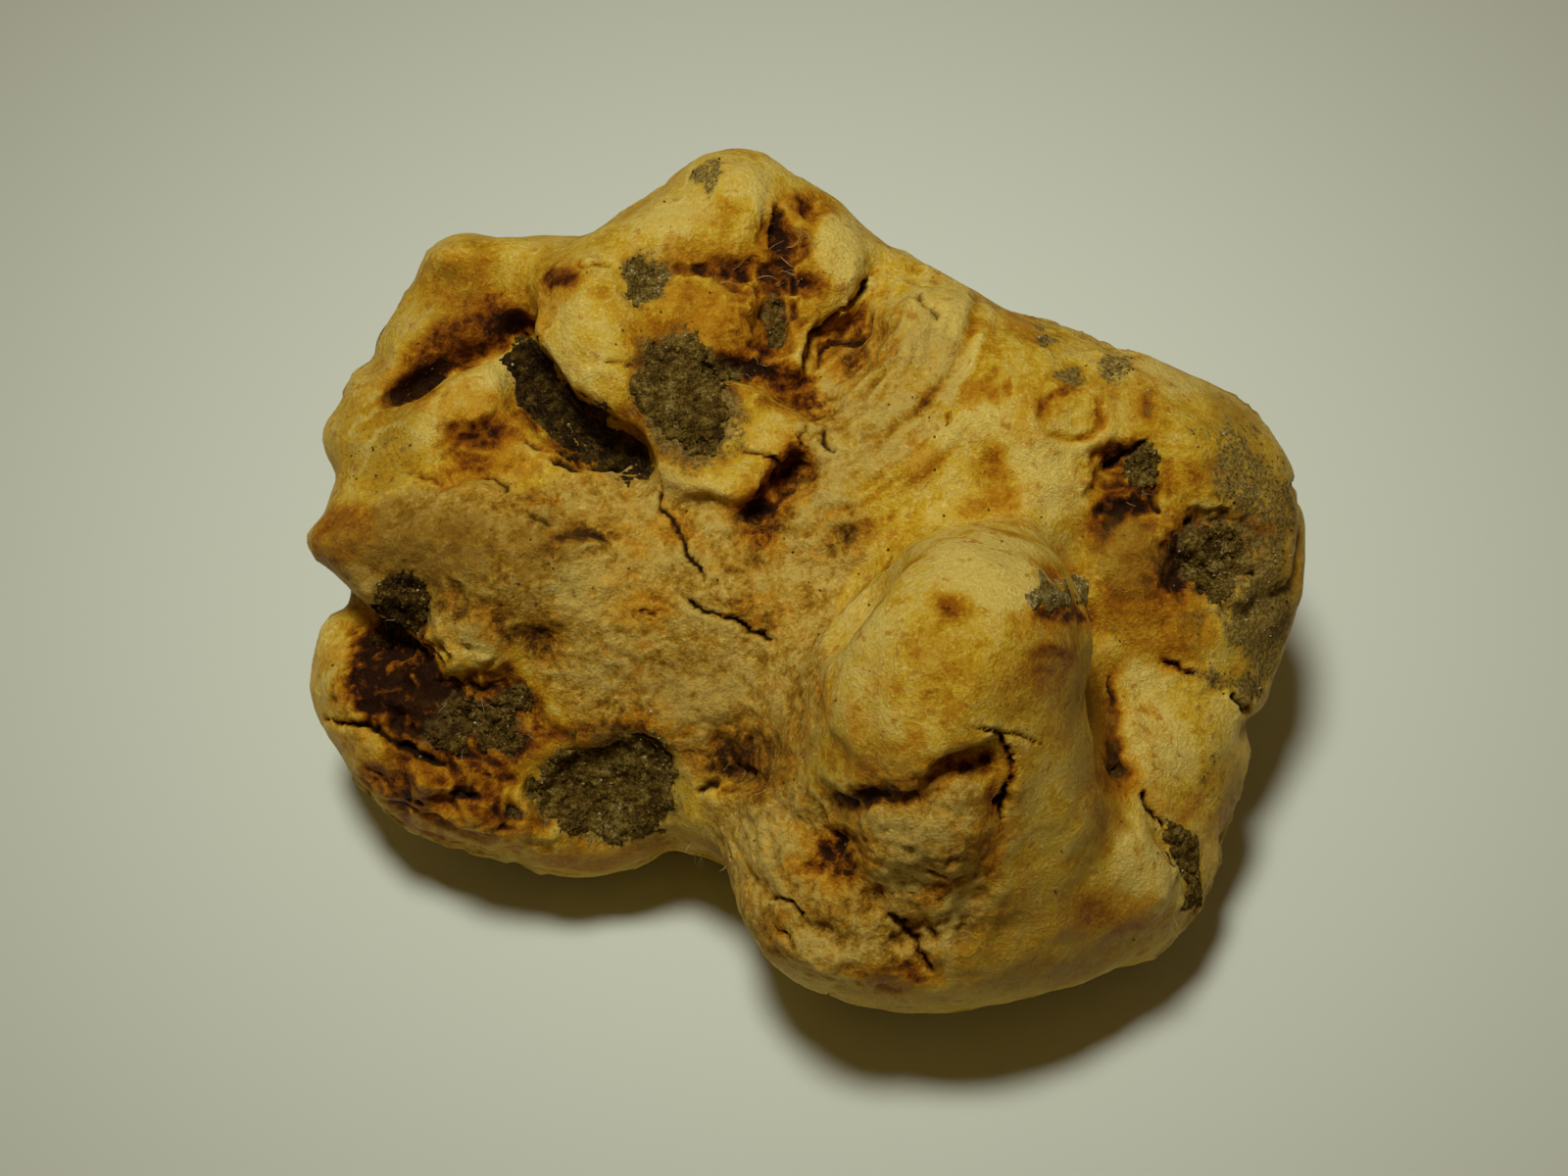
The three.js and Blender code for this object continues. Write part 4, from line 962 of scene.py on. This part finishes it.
def add_grains(shape, places, ways, sizes, random, dark, light):
    """Adds one grain of sand, a small squashed stone, at each place; a few are glassy."""
    layer = shape.verts.layers.float["tone"]
    for place, way, size in zip(places, ways, sizes):
        turn = Quaternion(random.normal(size=4)).normalized().to_matrix()
        squash = Matrix.Diagonal(random.uniform(0.6, 1.3, 3) * size * MM)
        middle = Vector(place) + Vector(way) * size * MM * 0.3
        glassy = random.random() < GLASSY_SHARE
        shade = random.uniform(0.9, 1.2) if glassy else random.uniform(dark, light)
        corners = [shape.verts.new(middle + turn @ squash @ corner) for corner in PEBBLE_CORNERS]
        for corner in corners:
            corner[layer] = shade
        for polygon in PEBBLE_FACES:
            shape.faces.new([corners[index] for index in polygon])


def soil_piece(name, node, spots, thick, shade, grains, seed):
    """A crust of soil over the part of the body that the spots cover, thick millimetres deep."""
    cover = strongest(face, spots) + 0.4 * face.clumps + 0.25 * face.bits
    chosen = (cover > 0.5) & (face.shown > 0.2)
    shape = region_of(body_shape, chosen)
    bmesh.ops.subdivide_edges(shape, edges=shape.edges, cuts=1, use_grid_fill=True, smooth=0)
    rim = {corner for edge in shape.edges if edge.is_boundary for corner in edge.verts}
    places = np.array([corner.co for corner in shape.verts])
    ways = np.array([corner.normal for corner in shape.verts])
    at_rim = np.array([corner in rim for corner in shape.verts])
    side = Side(places, ways, ragged=0.5)
    amount = strongest(side, spots) + 0.4 * side.clumps
    lift = 0.6 * thick * eased(0.4, 1.1, amount) * (0.75 + 0.35 * speckle(side.solid, 1.6, seed + 2))
    rough = min(1, 2.5 * thick)
    lift += rough * (0.14 * speckle(side.solid, 0.6, seed + 3) + 0.13 * speckle(side.solid, 0.27, seed + 4))
    lift = np.where(at_rim, -0.12, lift)
    new_places = lifted(places, ways, lift)
    moved = shape.verts.layers.float_vector.new("moved")
    for corner, place in zip(shape.verts, new_places):
        corner[moved] = Vector(place) - corner.co
    made = bmesh.ops.extrude_face_region(shape, geom=list(shape.faces), use_keep_orig=True)
    top = {part for part in made["geom"] if isinstance(part, bmesh.types.BMVert)}
    for corner, way in zip(list(shape.verts)[: len(ways)], ways):
        corner.co -= Vector(way) * CRUST_SINK * MM
    for corner in top:
        corner.co += corner[moved]
    shape.verts.layers.float_vector.remove(moved)
    bmesh.ops.recalc_face_normals(shape, faces=shape.faces)
    layer = shape.verts.layers.float.new("tone")
    for corner in shape.verts:
        corner[layer] = shade
    random = np.random.default_rng(seed)
    on_top = np.flatnonzero(~at_rim)
    picked = random.choice(on_top, min(grains, len(on_top)), replace=False)
    sizes = random.uniform(0.04, 0.1, len(picked)) * np.where(random.random(len(picked)) < 0.06, 1.6, 1)
    add_grains(shape, new_places[picked], ways[picked], sizes, random, shade - 0.2, shade + 0.25)
    mesh = into_mesh(shape, bpy.data.meshes.new(name))
    mesh.materials.append(soil.material)
    mesh.shade_smooth()
    piece = in_scene(name, mesh)
    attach(piece, "root")
    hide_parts(node)


soil_piece(
    "crown_hollow_soil", "soil_in_crown_hollow",
    [(-6, 11.8, 2.7, 3.2, 1.4, 25), (-4.8, 9.8, 1.8, 2, 1.3, 25), (-7.4, 13.8, 1.1, 1.3, 1.1),
     (-0.7, 16, 1, 1.9, 0.75, 10)],
    0.5, 0.46, 460, 101,
)
soil_piece("crown_shelf_soil", "soil_on_crown_shelf", [(-8.2, 18.5, 1.3, 1.7, 1.3)], 0.35, 0.62, 130, 111)
soil_piece(
    "lip_furrow_soil", "soil_in_lip_furrow",
    [(-15, 12.8, 1.5, 2.4, 1.4, 20), (-12.6, 9.9, 2.8, 1.7, 1.5, -35), (-9.9, 8.1, 2.6, 1.5, 1.4, -30)],
    0.45, 0.22, 160, 121,
)
soil_piece(
    "flap_soil", "soil_under_flap",
    [(-22.8, -1.1, 2, 1.7, 1.3, -25), (-23.8, -2.4, 1.3, 0.9, 1.2, -40)], 0.35, 0.3, 200, 131,
)
soil_piece(
    "left_foot_soil", "soil_on_left_foot",
    [(-18, -8.2, 2.6, 1.5, 1.1, -25), (-16.4, -6.8, 1.6, 0.9, 1, -10), (-20.4, -9.4, 1.6, 0.8, 1, -20)],
    0.4, 0.4, 320, 141,
)
soil_piece(
    "left_foot_hollow_soil", "soil_in_left_foot_hollow",
    [(-10.5, -12, 4.1, 3.1, 1.5, 5), (-7.8, -11.4, 1.4, 2.6, 1.2, 10)], 0.45, 0.5, 480, 151,
)
soil_piece("shoulder_pit_soil", "soil_in_shoulder_pit", [(25.9, 1.6, 2.1, 2.1, 1.3, -20)], 0.4, 0.5, 300, 161)
soil_piece(
    "upper_shoulder_pit_soil", "soil_in_upper_shoulder_pit",
    [(21.7, 7.3, 1.2, 1.4, 1.2, 20)], 0.3, 0.52, 90, 171,
)
soil_piece("knob_pit_soil", "soil_in_knob_pit", [(16.2, -0.4, 1.8, 1.1, 1.4, -10)], 0.25, 0.72, 12, 181)
soil_piece(
    "heel_crack_soil", "soil_in_heel_crack",
    [(23.9, -15.8, 0.8, 2.2, 1.4, 20), (24.5, -17.8, 0.7, 1.8, 1.4, 5)], 0.35, 0.5, 90, 191,
)
body_shape.free()


# The loose sand on its skin: single grains of pale and dark stone, some of them glassy, that brushing left
# caught in the rough and dusty places.
SAND_GRAINS = 1500


def scattered(weight, count, random):
    """Picks corners of the body at random, more often where the weight is greater."""
    return random.choice(len(weight), count, replace=False, p=weight / weight.sum())


random = np.random.default_rng(501)
dusty = strongest(face, STAINS["dust"]) ** 2 + 0.06 * (hollow > 0.02) + 0.004
picked = scattered(dusty * (0.3 + eased(-0.3, 0.6, face.clumps)), SAND_GRAINS, random)
shape = bmesh.new()
shape.verts.layers.float.new("tone")
sizes = random.uniform(0.03, 0.1, SAND_GRAINS)
add_grains(shape, points[picked], normals[picked], sizes, random, 0.35, 0.85)
sand_mesh = into_mesh(shape, bpy.data.meshes.new("loose_sand"))
sand_mesh.materials.append(soil.material)
loose_sand = in_scene("loose_sand", sand_mesh)
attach(loose_sand, "root")
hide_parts("fruit_body")


# The fibres on it: threads of fungus and hair roots, a few hundredths of a millimetre thick, dried onto
# the crown and the edges of the foot.
THREAD_STEPS = 7
thread_paint = Layers("fibre")
thread_paint.fill(thread_paint.shader, {"Base Color": (0.42, 0.34, 0.15, 1), "Roughness": 0.7})


def place_on_face(across, up):
    """The number of the body's corner that the face shows at this place."""
    return np.argmin(np.hypot(face.across - across, face.up - up) + 5 * (face.shown < 0.2))


def add_thread(shape, start, way, length, thick, random):
    """A thin round thread that grows from start, wandering as it goes; all in millimetres."""
    course = Vector(way).normalized()
    bend = Vector(random.normal(size=3)) * 0.35
    ring = bmesh.ops.create_circle(
        shape, segments=5, radius=thick * MM, cap_ends=True,
        matrix=Matrix.Translation(start) @ course.to_track_quat("Z", "Y").to_matrix().to_4x4(),
    )["verts"]
    edges = list({edge for corner in ring for edge in corner.link_edges})
    for _ in range(THREAD_STEPS):
        grown = bmesh.ops.extrude_edge_only(shape, edges=edges)["geom"]
        ring = [part for part in grown if isinstance(part, bmesh.types.BMVert)]
        edges = [
            part for part in grown
            if isinstance(part, bmesh.types.BMEdge) and all(corner in ring for corner in part.verts)
        ]
        course = (course + bend * 0.35 + Vector(random.normal(size=3)) * 0.18).normalized()
        middle = sum((corner.co for corner in ring), Vector()) / len(ring)
        for corner in ring:
            corner.co = middle + (corner.co - middle) * 0.9 + course * length / THREAD_STEPS * MM
    bmesh.ops.contextual_create(shape, geom=edges)


THREADS = [
    # place on the face, spread of the places, way across and up, length, how many
    ((-0.5, 21), (0.7, 0.7), (0.3, -0.4), 1.6, 9),
    ((-2.6, 18.2), (1.2, 0.3), (0.8, 0.1), 1.8, 7),
    ((1.2, 18.3), (0.5, 0.4), (0.2, 0.5), 1.0, 4),
    ((-1.8, 13.3), (0.9, 0.3), (0.6, -0.4), 1.3, 5),
    ((-18, -8), (1.8, 1.4), (0.4, 0.4), 1.2, 12),
    ((-22.6, -2.4), (1.2, 0.6), (-0.3, -0.5), 1.0, 5),
    ((-2.6, -11.2), (1, 0.6), (0.2, -0.6), 0.9, 6),
    ((-5, -16.8), (0.25, 0.8), (-0.5, -0.8), 1.1, 9),
    ((23.2, -20.4), (0.2, 0.3), (0.4, -0.6), 1.5, 2),
    ((20.6, 5.2), (1, 1), (0.5, 0.2), 0.9, 6),
    ((25, 1.6), (1.4, 1.2), (-0.3, 0.5), 0.9, 6),
]
random = np.random.default_rng(601)
shape = bmesh.new()
across_way = np.cross(FACE_UP, FACE_OUT)
for at, spread, way, length, count in THREADS:
    for _ in range(count):
        root = place_on_face(*(np.array(at) + random.normal(size=2) * spread))
        course = across_way * way[0] + FACE_UP * way[1] + normals[root] * 0.5 + random.normal(size=3) * 0.5
        start = Vector(points[root]) - Vector(normals[root]) * 0.05 * MM
        thick = random.uniform(0.012, 0.028)
        add_thread(shape, start, course, length * random.uniform(0.6, 1.2), thick, random)
thread_mesh = into_mesh(shape, bpy.data.meshes.new("dried_threads"))
thread_mesh.materials.append(thread_paint.material)
dried_threads = in_scene("dried_threads", thread_mesh)
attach(dried_threads, "root")
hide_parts("fruit_body")


# The floor: one plain sheet of pale, faintly green paper, wide enough to fill the frame from any side.
FLOOR_REACH = 600 * MM
shape = bmesh.new()
bmesh.ops.create_grid(shape, x_segments=1, y_segments=1, size=FLOOR_REACH)
floor_mesh = into_mesh(shape, bpy.data.meshes.new("floor"))
floor = in_scene("floor", floor_mesh)
floor_paint = Layers("pale_paper")
floor_paint.fill(floor_paint.shader, {"Base Color": (0.59, 0.635, 0.505, 1), "Roughness": 0.8})
floor_mesh.materials.append(floor_paint.material)


# The light: one soft lamp high overhead and a little to the left, whose pool fades towards the corners of
# the frame, and a weak warm glow from all round that fills the shadows.
LAMP_WAY = Vector((-0.12, -0.05, 1)).normalized()
LAMP_REACH = 620 * MM
LAMP_AIM = Vector((0, 13 * MM, 0))

world = bpy.data.worlds.new("room")
world.use_nodes = True
world.node_tree.nodes["Background"].inputs["Color"].default_value = (1, 0.62, 0.28, 1)
world.node_tree.nodes["Background"].inputs["Strength"].default_value = 0.095
bpy.context.scene.world = world

lamp = bpy.data.lights.new("window", "SPOT")
lamp.shadow_soft_size = 85 * MM
lamp.spot_size = np.radians(18)
lamp.spot_blend = 1
lamp.energy = 20
window = in_scene("window", lamp)
window.location = LAMP_AIM + LAMP_WAY * LAMP_REACH
window.rotation_euler = LAMP_WAY.to_track_quat("Z", "Y").to_euler()
bpy.context.scene.view_settings.view_transform = "Standard"
